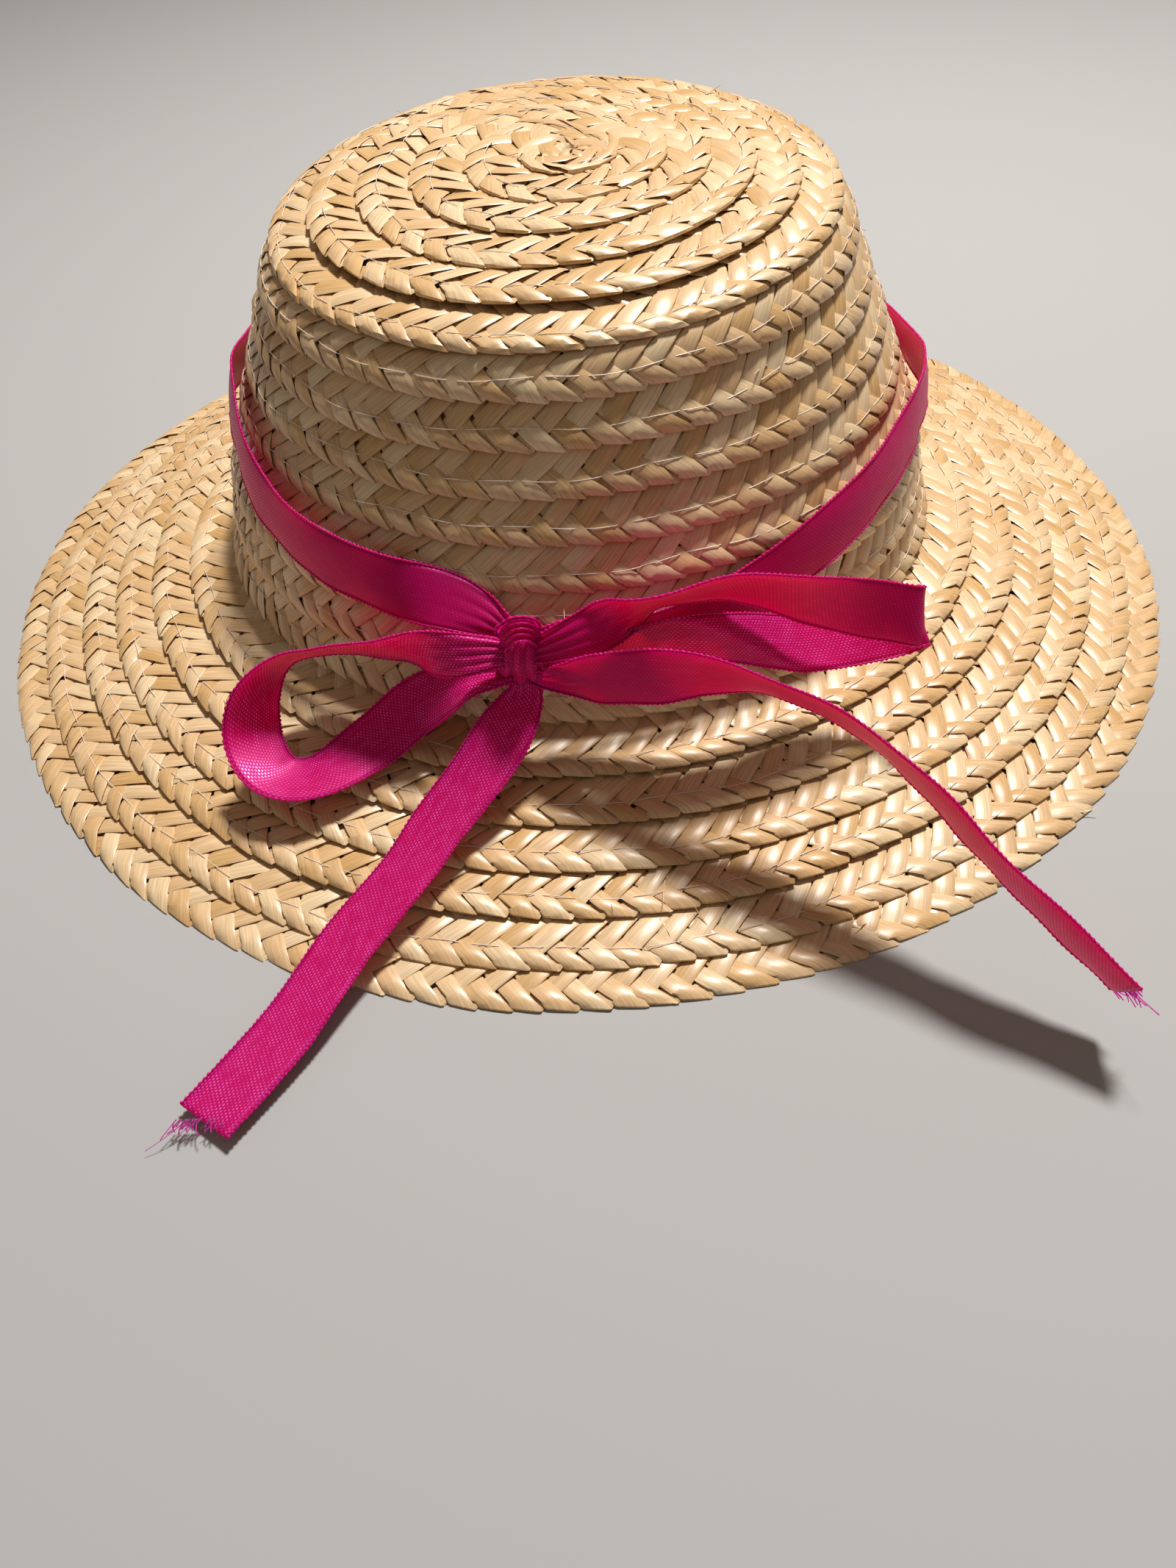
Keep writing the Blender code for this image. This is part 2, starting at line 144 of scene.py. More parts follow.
# TOOTH: length of plait from one fold to the next. JOG: share of a turn over which the
# plait passes from one row to the next. EDGE_DEPTH: how far a row's outer edge lies below the
# hat's form. ROW_FALL: how far a row slopes down over its pitch. EDGE_ROLL: how far its last
# EDGE_ROLL_WIDTH is pulled down. The plait wanders as it is sewn, sideways in three waves and
# up and down in one: WANDER_RUNS are their lengths over two pi, and WANDER_PARTS the heights
# of the first three against SIDE_WANDER.
TOOTH = 3.2
PLAIT_WIDTH = 2.5 * TOOTH
JOG = 0.15
TURN_STEP = 0.0005
EDGE_DEPTH = 0.45
ROW_FALL = 1.15
TIP_FALL_SHARE = 0.7
EDGE_ROLL = 0.30
EDGE_ROLL_WIDTH = 1.3
ROW_PITCH = 5.2
SIDE_WANDER = 0.10
HEIGHT_WANDER = 0.08
WANDER_RUNS = (17.0, 6.3, 3.1, 9.0)
WANDER_PARTS = (1.0, 0.7, 0.5)
SMALLEST_TURN_RADIUS = 1.6
MIDDLE_OF_ROW = 3.0
END_TURN = LAST_ROW + 0.02
wander_phase = np.random.default_rng(7).uniform(0.0, 2.0 * math.pi, 4)


def row_index(turns):
    """Which row's edge the plait follows after so many turns, counted from the back:
    a whole number all round, passing smoothly to the next over a short sector at the back."""
    whole = np.floor(turns + 0.5)
    share = np.clip((turns - whole) / JOG + 0.5, 0.0, 1.0)
    index = whole + share * share * (3.0 - 2.0 * share)
    return np.minimum(index, LAST_ROW)


def row_edge(turns):
    """Length along the meridian of the row's outer edge, after so many turns."""
    return np.interp(row_index(turns), np.arange(LAST_ROW + 1), EDGE_MARKS)


# Length of plait used up after each turn, measured along the middle of its row.
turns_table = np.arange(-0.5 * JOG, END_TURN + 2.0 * TURN_STEP, TURN_STEP)
middle_radius = np.interp(row_edge(turns_table) - MIDDLE_OF_ROW, form_along, form_points[:, 0])
turn_lengths = 2.0 * math.pi * np.maximum(middle_radius[1:], SMALLEST_TURN_RADIUS) * np.diff(turns_table)
plait_table = np.concatenate([[0.0], np.cumsum(turn_lengths)])


def lean(points):
    """The crown's top is pushed sideways and rises to the right and back, by its height.
    The middle of the tip's spiral lies off its centre, the rows easing back to true at its edge."""
    reach = np.hypot(points[..., 0], points[..., 1])
    ease = np.clip(1.0 - reach / TIP_RADIUS, 0.0, 1.0) * (points[..., 2] > SHOULDER_HEIGHT)
    points[..., 0] += ease * MIDDLE_SHIFT[0]
    points[..., 1] += ease * MIDDLE_SHIFT[1]
    weight = np.clip((points[..., 2] - WAIST_HEIGHT) / (SHOULDER_HEIGHT - WAIST_HEIGHT), 0.0, 1.0)
    points[..., 0] += weight * LEAN_SHIFT[0]
    points[..., 1] += weight * LEAN_SHIFT[1]
    points[..., 2] += weight * (LEAN_RIGHT * points[..., 0] + LEAN_BACK * points[..., 1])
    return points


def on_plait(along, across, lift):
    """Places on the hat for places in the plait. along: length from the plait's start.
    across: distance in from its outer edge. lift: height above its middle plane.
    Each row slopes down from its outer edge, so that it tucks in under the row before it, and
    its last millimetre is pulled down on the next row by the sewing."""
    turns = np.interp(along, plait_table, turns_table)
    edge = row_edge(turns)
    angle = 2.0 * math.pi * turns
    waves = [np.sin(along / run + phase) for run, phase in zip(WANDER_RUNS, wander_phase)]
    wander = WANDER_PARTS[0] * waves[0] + WANDER_PARTS[1] * waves[1] + WANDER_PARTS[2] * waves[2]
    squeeze = np.minimum(1.0, edge / PLAIT_WIDTH)
    mark = edge + SIDE_WANDER * wander * squeeze - across * squeeze
    over_rim = np.maximum(mark - form_along[-1], 0.0)
    radius = np.interp(mark, form_along, form_points[:, 0]) + over_rim * math.cos(BRIM_SLOPE)
    height = np.interp(mark, form_along, form_points[:, 1]) - over_rim * math.sin(BRIM_SLOPE)
    run_out = np.interp(mark, form_along, form_slope[:, 0])
    run_down = np.interp(mark, form_along, form_slope[:, 1])
    fall = ROW_FALL * np.interp(edge, (0.0, tip_marks[-1], shoulder_at), (0.0, TIP_FALL_SHARE, 1.0))
    roll = EDGE_ROLL * fall * np.clip(1.0 - across / EDGE_ROLL_WIDTH, 0.0, 1.2) ** 2
    depth = lift - EDGE_DEPTH - roll - fall * across / ROW_PITCH
    depth = depth + HEIGHT_WANDER * waves[3]
    radius = np.maximum(radius - depth * run_down, 0.0)
    height = height + depth * run_out
    spot = np.stack([-radius * np.sin(angle), radius * np.cos(angle), height], axis=-1)
    return lean(spot)


# One unit is the straw between two inner folds: out to the outer fold and back in.
# The stations are places across the plait, as shares of TOOTH. The straw's section stands at
# each of them: seven points, as shares of the straw's half width and of its half thickness.
SLANT_STATIONS = np.array([2.42, 2.2, 1.95, 1.83, 1.66, 1.25, 0.84, 0.67, 0.55, 0.33, 0.11])
RING_ACROSS = np.array([-1.0, -0.8, 0.0, 0.8, 1.0, 0.8, -0.8])
RING_THICK = np.array([0.0, 1.0, 1.0, 1.0, 0.0, -1.0, -1.0])
STRAW_HALF = 0.085
STRAW_ARCH = 0.065

# A straw passes over and under the others at CROSSINGS, OVER_HEIGHT up or down, and takes
# OVER_EASE to get there. SHINGLE is its slope, one edge lying over the next straw.
CROSSINGS = (0.75 * TOOTH, 1.75 * TOOTH)
OVER_HEIGHT = 0.17
OVER_EASE = 0.38
SHINGLE = 0.055

# Folds: the radius of the bend, the length near it where the straw is cut off square to the
# plait's edge, how much it is pressed wider there, laps over the next fold and juts out at
# its leading corner, and the step between its two layers.
FOLD_RADIUS = 0.17
FOLD_EASE = 1.6
FOLD_SQUARE = 0.25
FOLD_WIDENING = 0.05
FOLD_LAP = 0.10
FOLD_STEP = 0.04
OUTER_POINT = 0.18
INNER_POINT = 0.15

# The seam runs THREAD_AT in from the outer edge and presses a dent into the straws, though
# not nearer to the edge than DENT_FROM.
THREAD_AT = 1.95
DENT_FROM = 0.3
THREAD_DENT = 0.11
DENT_WIDTH = 0.35

# How the straws differ: width as a share of TOOTH, slant and tilt as slopes, height, bow
# between two crossings, and stray of the outer fold along the plait.
WIDTH_SHARES = (0.82, 1.06)
SLANT_SPREAD = 0.10
TILT_SPREAD = 0.055
HEIGHT_SPREAD = 0.035
BOW_LEAST = 0.02
BOW_SPREAD = 0.09
EDGE_BOW_SHARE = 0.6
STRAY_SPREAD = 0.17
TONE_SPREAD = 0.3

# The grain's map, in millimetres: length along the straw for each one across the plait, length
# round a fold, half the straw's width, and the field from which each straw's piece is drawn.
GRAIN_SLANT = 1.41
GRAIN_FOLD = 0.25
GRAIN_HALF = 1.13
GRAIN_FIELD = (400.0, 90.0)


def straw_units(first, last, draw):
    """Vertices, ring by ring, of every straw unit whose outer fold is between two lengths.
    A straw is a flat strip cut off square to the plait at its folds. On the way out it lies
    over the others near both edges and under them in the middle, on the way back the reverse.
    Each is tilted a little about its own line, one side over its neighbour's."""
    folds = np.arange(math.ceil(first / TOOTH), math.ceil(last / TOOTH)) * TOOTH
    count = len(folds)
    stations = len(SLANT_STATIONS)
    outer_fold = stations + 2
    slant = SLANT_STATIONS * TOOTH
    place = np.concatenate([[PLAIT_WIDTH], slant, [0.0, 0.0, 0.0], slant[::-1], [PLAIT_WIDTH]])
    way = np.concatenate([-np.ones(outer_fold), [0.0], np.ones(outer_fold)])
    tilt_normal = np.radians(np.concatenate([[90.0], np.zeros(stations), [-45.0, -90.0, -135.0],
                                             np.full(stations, -180.0), [-270.0]]))
    u = place[None, :, None]
    side = RING_ACROSS[None, None, :]
    direction = way[None, :, None]
    normal = tilt_normal[None, :, None]
    outward = direction < 0

    width = draw.uniform(*WIDTH_SHARES, count)[:, None, None]
    slant_out, slant_back = draw.normal(0.0, SLANT_SPREAD, (2, count))[:, :, None, None]
    tilt_out, tilt_back = draw.normal(0.0, TILT_SPREAD, (2, count))[:, :, None, None]
    raise_out, raise_back = draw.normal(0.0, HEIGHT_SPREAD, (2, count))[:, :, None, None]
    bow_out, bow_back = draw.uniform(0.0, BOW_SPREAD, (2, count))[:, :, None, None]
    stray = draw.normal(0.0, STRAY_SPREAD, count)[:, None, None]

    half = 0.5 * TOOTH * width * (1.0 + FOLD_WIDENING * np.clip(1.2 - u, 0.0, 1.0))
    at_fold = np.clip(1.0 - u / FOLD_EASE, 0.0, 1.0)
    at_inner = np.clip(1.0 - (PLAIT_WIDTH - u) / FOLD_EASE, 0.0, 1.0)
    slanted = np.clip(u - FOLD_SQUARE, 0.0, 1.0) * np.clip(PLAIT_WIDTH - FOLD_SQUARE - u, 0.0, 1.0)
    across = u - direction * 0.5 * half * side * slanted
    along = folds[:, None, None] + direction * across + half * side + stray * at_fold
    turned_by = np.where(outward, slant_out, slant_back) * np.abs(direction)
    along = along + turned_by * (u - 0.5 * PLAIT_WIDTH) * slanted
    across = across - OUTER_POINT * side * at_fold - INNER_POINT * side * at_inner

    weave = np.tanh((u - CROSSINGS[0]) / OVER_EASE) * np.tanh((u - CROSSINGS[1]) / OVER_EASE)
    lift = np.where(outward, 1.0, -1.0) * OVER_HEIGHT * weave
    lift = np.where(direction == 0.0, 0.0, lift)
    bow = BOW_LEAST + np.where(outward, bow_out, bow_back)
    middle_cell = np.sin(np.pi * np.clip((u - CROSSINGS[0]) / TOOTH, 0.0, 1.0)) * (direction > 0)
    edge_cell = np.sin(np.pi * np.clip(u / CROSSINGS[0], 0.0, 1.0)) * outward
    lift = lift + bow * (middle_cell + EDGE_BOW_SHARE * edge_cell) - STRAW_ARCH * side ** 2
    tilt = np.where(outward, tilt_out - SHINGLE, tilt_back + SHINGLE)
    lift = lift + tilt * side + np.where(outward, raise_out, raise_back) * slanted
    dent = THREAD_DENT * np.exp(-((u - THREAD_AT) / DENT_WIDTH) ** 2)
    lift = lift - dent * (direction <= 0) * (u > DENT_FROM) + FOLD_LAP * side * at_fold

    bend = np.zeros_like(place)
    bend[outer_fold - 1:outer_fold + 2] = (-0.7 * FOLD_RADIUS, -FOLD_RADIUS, -0.7 * FOLD_RADIUS)
    bend[[0, -1]] = FOLD_RADIUS
    step = np.zeros_like(place)
    step[[outer_fold - 1, outer_fold + 1]] = (-FOLD_STEP, FOLD_STEP)
    lift = lift + step[None, :, None]
    ends = np.isin(np.arange(len(place)), (0, len(place) - 1))[None, :, None]
    lift = np.where(ends, -STRAW_ARCH * side ** 2, lift)
    ring = STRAW_HALF * RING_THICK[None, None, :]
    across = across + bend[None, :, None] + ring * np.sin(normal)
    lift = lift + ring * np.cos(normal)
    along, across, lift = np.broadcast_arrays(along, across, lift)
    places = on_plait(along, across, lift)

    run = np.concatenate([[0.0], np.cumsum(np.hypot(np.diff(place) * GRAIN_SLANT, GRAIN_FOLD))])
    every = np.zeros_like(along)
    grain_u = run[None, :, None] + draw.uniform(0.0, GRAIN_FIELD[0], count)[:, None, None] + every
    grain_v = GRAIN_HALF * side + draw.uniform(0.0, GRAIN_FIELD[1], count)[:, None, None] + every
    tone_out = draw.uniform(0.0, 1.0, count)[:, None, None]
    tone_back = np.clip(tone_out + draw.normal(0.0, TONE_SPREAD, count)[:, None, None], 0.0, 1.0)
    tone = np.where(outward, tone_out, tone_back) + every
    return places, grain_u, grain_v, tone


def closed_strips(places):
    """Faces of closed strips: quads between neighbouring rings, and a cap on each end.
    The rings' points follow each other in the last axis but one."""
    strips, rings, points = places.shape[:3]
    index = np.arange(strips * rings * points).reshape(strips, rings, points)
    following = np.roll(index, -1, axis=2)
    quads = np.stack([index[:, :-1], following[:, :-1], following[:, 1:], index[:, 1:]], axis=-1)
    caps = [index[:, 0, ::-1], index[:, -1, :]]
    return quads.reshape(-1, 4), np.concatenate(caps)


MILLIMETRE = 0.001


def make_piece(name, places, faces, maps=None, kind=None, crease=None):
    """A mesh object from points in millimetres about the hat's axis, and arrays of faces.
    The faces are turned over if the volume that they close comes out negative. maps: each
    point's place along and across its own material, in millimetres. kind: one more value for
    each point that its material reads. crease: the angle above which an edge is sharp."""
    points = places.reshape(-1, 3)
    loops = np.concatenate([face.ravel() for face in faces])
    sizes = np.concatenate([np.full(len(face), face.shape[1]) for face in faces])
    starts = np.concatenate([[0], np.cumsum(sizes)[:-1]])
    a, b, c = (points[faces[0][:, i]] for i in (0, 1, 2))
    d = points[faces[0][:, -1]]
    volume = np.einsum("ij,ij->i", a, np.cross(b, c)).sum()
    if faces[0].shape[1] == 4:
        volume += np.einsum("ij,ij->i", a, np.cross(c, d)).sum()
    if volume < 0.0:
        loops = np.concatenate([face[:, ::-1].ravel() for face in faces])
    mesh = bpy.data.meshes.new(name)
    mesh.vertices.add(len(points))
    mesh.vertices.foreach_set("co", (points * MILLIMETRE + AXIS).astype(np.float32).ravel())
    mesh.loops.add(len(loops))
    mesh.loops.foreach_set("vertex_index", loops.astype(np.int32))
    mesh.polygons.add(len(sizes))
    mesh.polygons.foreach_set("loop_start", starts.astype(np.int32))
    mesh.polygons.foreach_set("use_smooth", np.ones(len(sizes), dtype=bool))
    if maps is not None:
        layer = mesh.uv_layers.new(name="along_across")
        pair = np.column_stack([maps[0].ravel(), maps[1].ravel()])[loops]
        layer.data.foreach_set("uv", pair.astype(np.float32).ravel())
    if kind is not None:
        mark = mesh.attributes.new("kind", "FLOAT", "POINT")
        mark.data.foreach_set("value", kind.astype(np.float32).ravel())
    mesh.update()
    mesh.validate()
    if crease is not None:
        mesh.set_sharp_from_angle(angle=crease)
    piece = bpy.data.objects.new(name, mesh)
    bpy.context.scene.collection.objects.link(piece)
    return piece


def unit(vectors):
    """Vectors scaled to length one."""
    return vectors / np.linalg.norm(vectors, axis=-1, keepdims=True)


def linear(code):
    """Linear colour of an sRGB hex value."""
    parts = [int(code[i:i + 2], 16) / 255.0 for i in (1, 3, 5)]
    return tuple(p / 12.92 if p <= 0.04045 else ((p + 0.055) / 1.055) ** 2.4 for p in parts) + (1.0,)


def add_node(tree, kind, links=(), **settings):
    """Adds a node. Settings name its properties, or its inputs by number as in_0. Links join
    an output of another node to one of its inputs: (from node, from output, to input)."""
    node = tree.nodes.new(kind)
    for key, value in settings.items():
        if key.startswith("in_"):
            node.inputs[int(key[3:])].default_value = value
        else:
            setattr(node, key, value)
    for source, output, target in links:
        tree.links.new(source.outputs[output], node.inputs[target])
    return node


def straw_material():
    """Wheat straw, split, flattened and plaited: waxy and glossy lengthwise, with a fine grain
    along it, and each straw paler or more golden than the next. The grain is 0.2 mm wide and
    some 6 mm long; finer grain than that would not show."""
    material = bpy.data.materials.new("plaited_wheat_straw")
    material.use_nodes = True
    tree = material.node_tree
    shader = tree.nodes["Principled BSDF"]
    uv = add_node(tree, "ShaderNodeUVMap", uv_map="along_across")
    tone = add_node(tree, "ShaderNodeAttribute", attribute_name="kind")
    stretch = add_node(tree, "ShaderNodeMapping", [(uv, 0, 0)], in_3=(0.18, 4.6, 1.0))
    grain = add_node(tree, "ShaderNodeTexNoise", [(stretch, 0, 0)], in_2=1.0, in_3=3.0, in_4=0.6)
    blotch_map = add_node(tree, "ShaderNodeMapping", [(uv, 0, 0)], in_3=(0.12, 0.5, 1.0))
    blotch = add_node(tree, "ShaderNodeTexNoise", [(blotch_map, 0, 0)], in_2=1.0, in_3=2.0)
    mixed = add_node(tree, "ShaderNodeMath", [(tone, 2, 0), (blotch, 0, 1)], operation="ADD")
    halved = add_node(tree, "ShaderNodeMath", [(mixed, 0, 0)], operation="MULTIPLY", in_1=0.5)
    ramp = add_node(tree, "ShaderNodeValToRGB", [(halved, 0, 0)])
    ramp.color_ramp.elements[0].position = 0.18
    ramp.color_ramp.elements[0].color = linear("#D3AA70")
    ramp.color_ramp.elements[1].position = 0.85
    ramp.color_ramp.elements[1].color = linear("#EFD9B2")
    middle = ramp.color_ramp.elements.new(0.5)
    middle.color = linear("#E3C093")
    streak = add_node(tree, "ShaderNodeMapRange", [(grain, 0, 0)],
                      in_1=0.35, in_2=0.68, in_3=0.76, in_4=1.10)
    tinted = add_node(tree, "ShaderNodeVectorMath", [(ramp, 0, 0), (streak, 0, 1)], operation="MULTIPLY")
    tree.links.new(tinted.outputs[0], shader.inputs["Base Color"])
    gloss = add_node(tree, "ShaderNodeMapRange", [(grain, 0, 0)],
                     in_1=0.3, in_2=0.7, in_3=0.46, in_4=0.28)
    tree.links.new(gloss.outputs[0], shader.inputs["Roughness"])
    bump = add_node(tree, "ShaderNodeBump", [(grain, 0, 2)], in_0=0.6)
    bump.inputs["Distance"].default_value = 0.00014
    tree.links.new(bump.outputs[0], shader.inputs["Normal"])
    tree.links.new(bump.outputs[0], shader.inputs["Coat Normal"])
    shader.inputs["IOR"].default_value = 1.5
    shader.inputs["Coat Weight"].default_value = 0.16
    shader.inputs["Coat Roughness"].default_value = 0.30
    return material


wheat_straw = straw_material()
STRAW_CREASE = math.radians(38.0)


def length_at(turns):
    """Length of plait used up after so many turns, read between the table's places."""
    return float(np.interp(turns, turns_table, plait_table))


def plait_piece(name, first_turn, last_turn, node, seed):
    """A stretch of the plait between two turns, which stands for a solid of the hat."""
    draw = np.random.default_rng(seed)
    places, grain_u, grain_v, tone = straw_units(length_at(first_turn), length_at(last_turn), draw)
    piece = make_piece(name, places, closed_strips(places), (grain_u, grain_v), tone, STRAW_CREASE)
    piece.data.materials.append(wheat_straw)
    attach(piece, "root")
    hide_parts(node)


STITCH_START = 2.0
STITCH_STEP = 0.75
STITCH_LENGTH = 4.4
STITCH_HEIGHT = 0.27
STITCH_DIP = 0.42
DIP_WIDTH = 0.45
THREAD_RADIUS = 0.055

# How the thread's line sways across the row, in a long wave and a short one, and how it rises
# and falls. Each pair is a wave's height and its length over two pi.
LONG_SWAY = (0.22, 5.7)
SHORT_SWAY = (0.16, 2.3)
THREAD_RISE = (0.05, 1.9)


def thread_material():
    """Clear nylon sewing thread: thin, smooth and slightly milky, so that only its glints show."""
    material = bpy.data.materials.new("clear_nylon_thread")
    material.use_nodes = True
    shader = material.node_tree.nodes["Principled BSDF"]
    shader.inputs["Base Color"].default_value = linear("#E9DFD6")
    shader.inputs["Roughness"].default_value = 0.25
    shader.inputs["IOR"].default_value = 1.53
    return material


nylon_thread = thread_material()


def tube(centres, out, up, radius, points=5):
    """A closed tube round a line of points. out and up: the ways its section is turned.
    radius: one value for each point."""
    angle = np.arange(points)[None, :, None] * 2.0 * np.pi / points
    section = np.cos(angle) * out[:, None, :] + np.sin(angle) * up[:, None, :]
    return centres[:, None, :] + radius[:, None, None] * section


def stitch_piece(name, first_turn, last_turn, node):
    """The row of machine stitches along a stretch of the plait: the thread wanders a little,
    lies on the straw, and dips through it at even lengths."""
    along = np.arange(length_at(first_turn) + STITCH_START, length_at(last_turn), STITCH_STEP)
    across = (THREAD_AT + LONG_SWAY[0] * np.sin(along / LONG_SWAY[1])
              + SHORT_SWAY[0] * np.sin(along / SHORT_SWAY[1] + 1.0))
    dip = np.exp(-((np.mod(along, STITCH_LENGTH) - 0.5 * STITCH_LENGTH) / DIP_WIDTH) ** 2)
    lift = STITCH_HEIGHT + THREAD_RISE[0] * np.sin(along / THREAD_RISE[1]) - STITCH_DIP * dip
    line = on_plait(along, across, lift)
    above = unit(on_plait(along, across, lift + 1.0) - line)
    beside = unit(np.cross(np.gradient(line, axis=0), above))
    rings = tube(line, beside, above, np.full(len(line), THREAD_RADIUS), 4)[None]
    piece = make_piece(name, rings, closed_strips(rings))
    piece.data.materials.append(nylon_thread)
    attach(piece, "root")
    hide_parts(node)


SPLINTER_LENGTH = (1.2, 3.4)
SPLINTER_PLACE = (0.6, 4.6)
SPLINTER_SLOPE = (0.05, 0.45)
SPLINTER_TONE = (0.3, 1.0)
SPLINTER_WIDE = 0.22
SPLINTER_HALF = 0.03
SPLINTER_TAPER = 0.8
SPLINTER_ROOT = 0.10
GRAIN_APART = 40.0


def splinter_piece(name, first_turn, last_turn, node, count, seed):
    """Broken slivers of straw that stand up from the plait here and there. Each goes its own
    way from its root, tapers evenly, and rises with the square of its share of the length."""
    draw = np.random.default_rng(seed)
    root = draw.uniform(length_at(first_turn), length_at(last_turn), count)[:, None, None]
    inset = draw.uniform(*SPLINTER_PLACE, count)[:, None, None]
    aim = draw.uniform(0.0, 2.0 * math.pi, count)[:, None, None]
    size = draw.uniform(*SPLINTER_LENGTH, count)[:, None, None]
    slope = draw.uniform(*SPLINTER_SLOPE, count)[:, None, None]
    share = np.linspace(0.0, 1.0, 5)[None, :, None]
    reach = size * share
    side = 0.5 * SPLINTER_WIDE * (1.0 - SPLINTER_TAPER * share) * np.array([-1.0, 1.0, 1.0, -1.0])
    along = root + reach * np.cos(aim) - side * np.sin(aim)
    across = inset + reach * np.sin(aim) + side * np.cos(aim)
    rise = SPLINTER_ROOT + reach * slope * share + SPLINTER_HALF * np.array([-1.0, -1.0, 1.0, 1.0])
    places = on_plait(along, across, rise)
    maps = (reach + 0.0 * side, side + GRAIN_APART * aim)
    tone = draw.uniform(*SPLINTER_TONE, count)[:, None, None] + 0.0 * side
    piece = make_piece(name, places, closed_strips(places), maps, tone, STRAW_CREASE)
    piece.data.materials.append(wheat_straw)
    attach(piece, "root")
    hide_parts(node)


# Crown tip
# The plait starts curled up in the middle of the top, and goes round five times,
# each row's outer edge lying over the next one. The turns count the rows from there.
TIP_END = TIP_ROWS + 0.5 * JOG
plait_piece("tip_plait", -0.5 * JOG, TIP_END, "crown_tip", 909)
stitch_piece("tip_stitches", 0.4, TIP_END, "crown_tip")
splinter_piece("tip_splinters", 1.0, TIP_ROWS, "crown_tip", 14, 11)


# Side crown
# The plait turns down over the shoulder and runs round the side nine times, the shoulder's
# own row counted, each row hanging over the top of the one below it.
SIDE_HALFWAY = TIP_ROWS + 5
SIDE_END = TIP_ROWS + 1 + SIDE_ROWS
plait_piece("side_plait_upper", TIP_END, SIDE_HALFWAY, "crown_side", 1666)
plait_piece("side_plait_lower", SIDE_HALFWAY, SIDE_END, "crown_side", 1716)
stitch_piece("side_stitches", TIP_END, SIDE_END, "crown_side")
splinter_piece("side_splinters", TIP_ROWS + 1, SIDE_END, "crown_side", 46, 12)


# Brim
# At the base of the crown the same plait turns out into the brim and runs round six times
# more. Its end is cut off at the back of the rim, and the rim's own row has no seam, since
# no row lies under it.
BRIM_HALFWAY = SIDE_END + 3.4
plait_piece("brim_plait_inner", SIDE_END, BRIM_HALFWAY, "brim", 1756)
plait_piece("brim_plait_outer", BRIM_HALFWAY, END_TURN, "brim", 1790)
stitch_piece("brim_stitches", SIDE_END, END_TURN - 1.0, "brim")
splinter_piece("brim_splinters", SIDE_END, END_TURN - 0.2, "brim", 40, 13)


# Ribbon band
# A 6 mm magenta satin ribbon laid once round the crown: polyester threads woven in satin,
# smooth on the face and grainy on the back, with a row of tiny thread loops on each selvage.
RIBBON_WIDTH = 6.0
RIBBON_THICK = 0.28
STATION_STEP = 0.5
ACROSS_STEPS = 13

# The ribbon is cupped by CUP, creased by CREASE where it is gathered, and its selvages wave:
# a wave's run is its length over two pi. Towards the selvages it thins by EDGE_THINNING.
CUP = 0.12
CREASE = 0.45
WAVE = 0.10
WAVE_RUN = 2.3
SHORT_WAVE = 0.07
SHORT_WAVE_RUN = 1.1
EDGE_THINNING = 0.9

# The selvage's thread loops: their spacing, the places worked out along them, the radius of
# the selvage and how much a loop swells it, how far out the selvage lies and how much further
# a loop reaches, and how uneven the loops are.
PICOT_STEP = 0.56
PICOT_STATION = 0.14
PICOT_RADIUS = 0.11
PICOT_SWELL = 0.07
PICOT_OUT = 0.02
PICOT_REACH = 0.08
PICOT_UNEVEN = 0.25

# The knot is turned from the front, up from the crown's base and off the straw.
KNOT_TURN = math.radians(8.0)
KNOT_RISE = 9.8
KNOT_STANDOFF = 3.0
BAND_RISE = 12.0
BAND_CLEAR = 0.30

# turn: degrees from the knot, leftwards. rise: above the knot, as a share of BAND_RISE. stand:
# how far the lower selvage is off the straw, as a share of the ribbon's width. width: share of
# the ribbon's width. upright: 0 where it leans as the wall does, 1 where it stands straight up,
# and below 0 where it leans in further.
BAND_TABLE = (
    (0.8, 0.12, 0.42, 0.30, -1.5),
    (3.0, 0.17, 0.45, 0.45, -1.8),
    (6.0, 0.24, 0.46, 0.75, -2.0),
    (11.0, 0.33, 0.38, 0.97, -1.4),
    (20.0, 0.38, 0.10, 1.00, 0.1),
    (35.0, 0.45, 0.00, 1.00, 0.5),
    (50.0, 0.65, 0.00, 1.00, 0.5),
    (65.0, 0.92, 0.00, 1.00, 0.4),
    (80.0, 0.84, 0.00, 1.00, 0.3),
    (95.0, 0.68, 0.00, 1.00, 0.3),
    (135.0, 0.44, 0.00, 1.00, 0.3),
    (180.0, 0.28, 0.00, 1.00, 0.3),
    (225.0, 0.30, 0.02, 1.00, 0.3),
    (258.0, 0.42, 0.05, 1.00, 0.5),
    (270.0, 0.53, 0.10, 1.00, 0.6),
    (282.0, 0.66, 0.12, 1.00, 0.6),
    (296.0, 0.57, 0.07, 1.00, 0.4),
    (312.0, 0.40, 0.03, 1.00, 0.3),
    (321.0, 0.27, 0.00, 1.00, 0.2),
    (331.0, 0.10, 0.00, 1.00, 0.1),
    (342.0, -0.06, 0.00, 0.95, 0.0),
    (350.0, -0.02, 0.02, 0.75, 0.0),
    (354.0, 0.10, 0.06, 0.50, 0.0),
    (357.0, 0.12, 0.20, 0.35, 0.0),
    (359.3, 0.12, 0.34, 0.30, 0.0),
)


def wall_radius(height):
    """Radius of the side crown's row edges at a height, before the lean: straight lines
    between the base, the waist and the shoulder."""
    return np.interp(height, (BASE_HEIGHT, WAIST_HEIGHT, SHOULDER_HEIGHT),
                     (BASE_RADIUS, WAIST_RADIUS, SHOULDER_RADIUS))


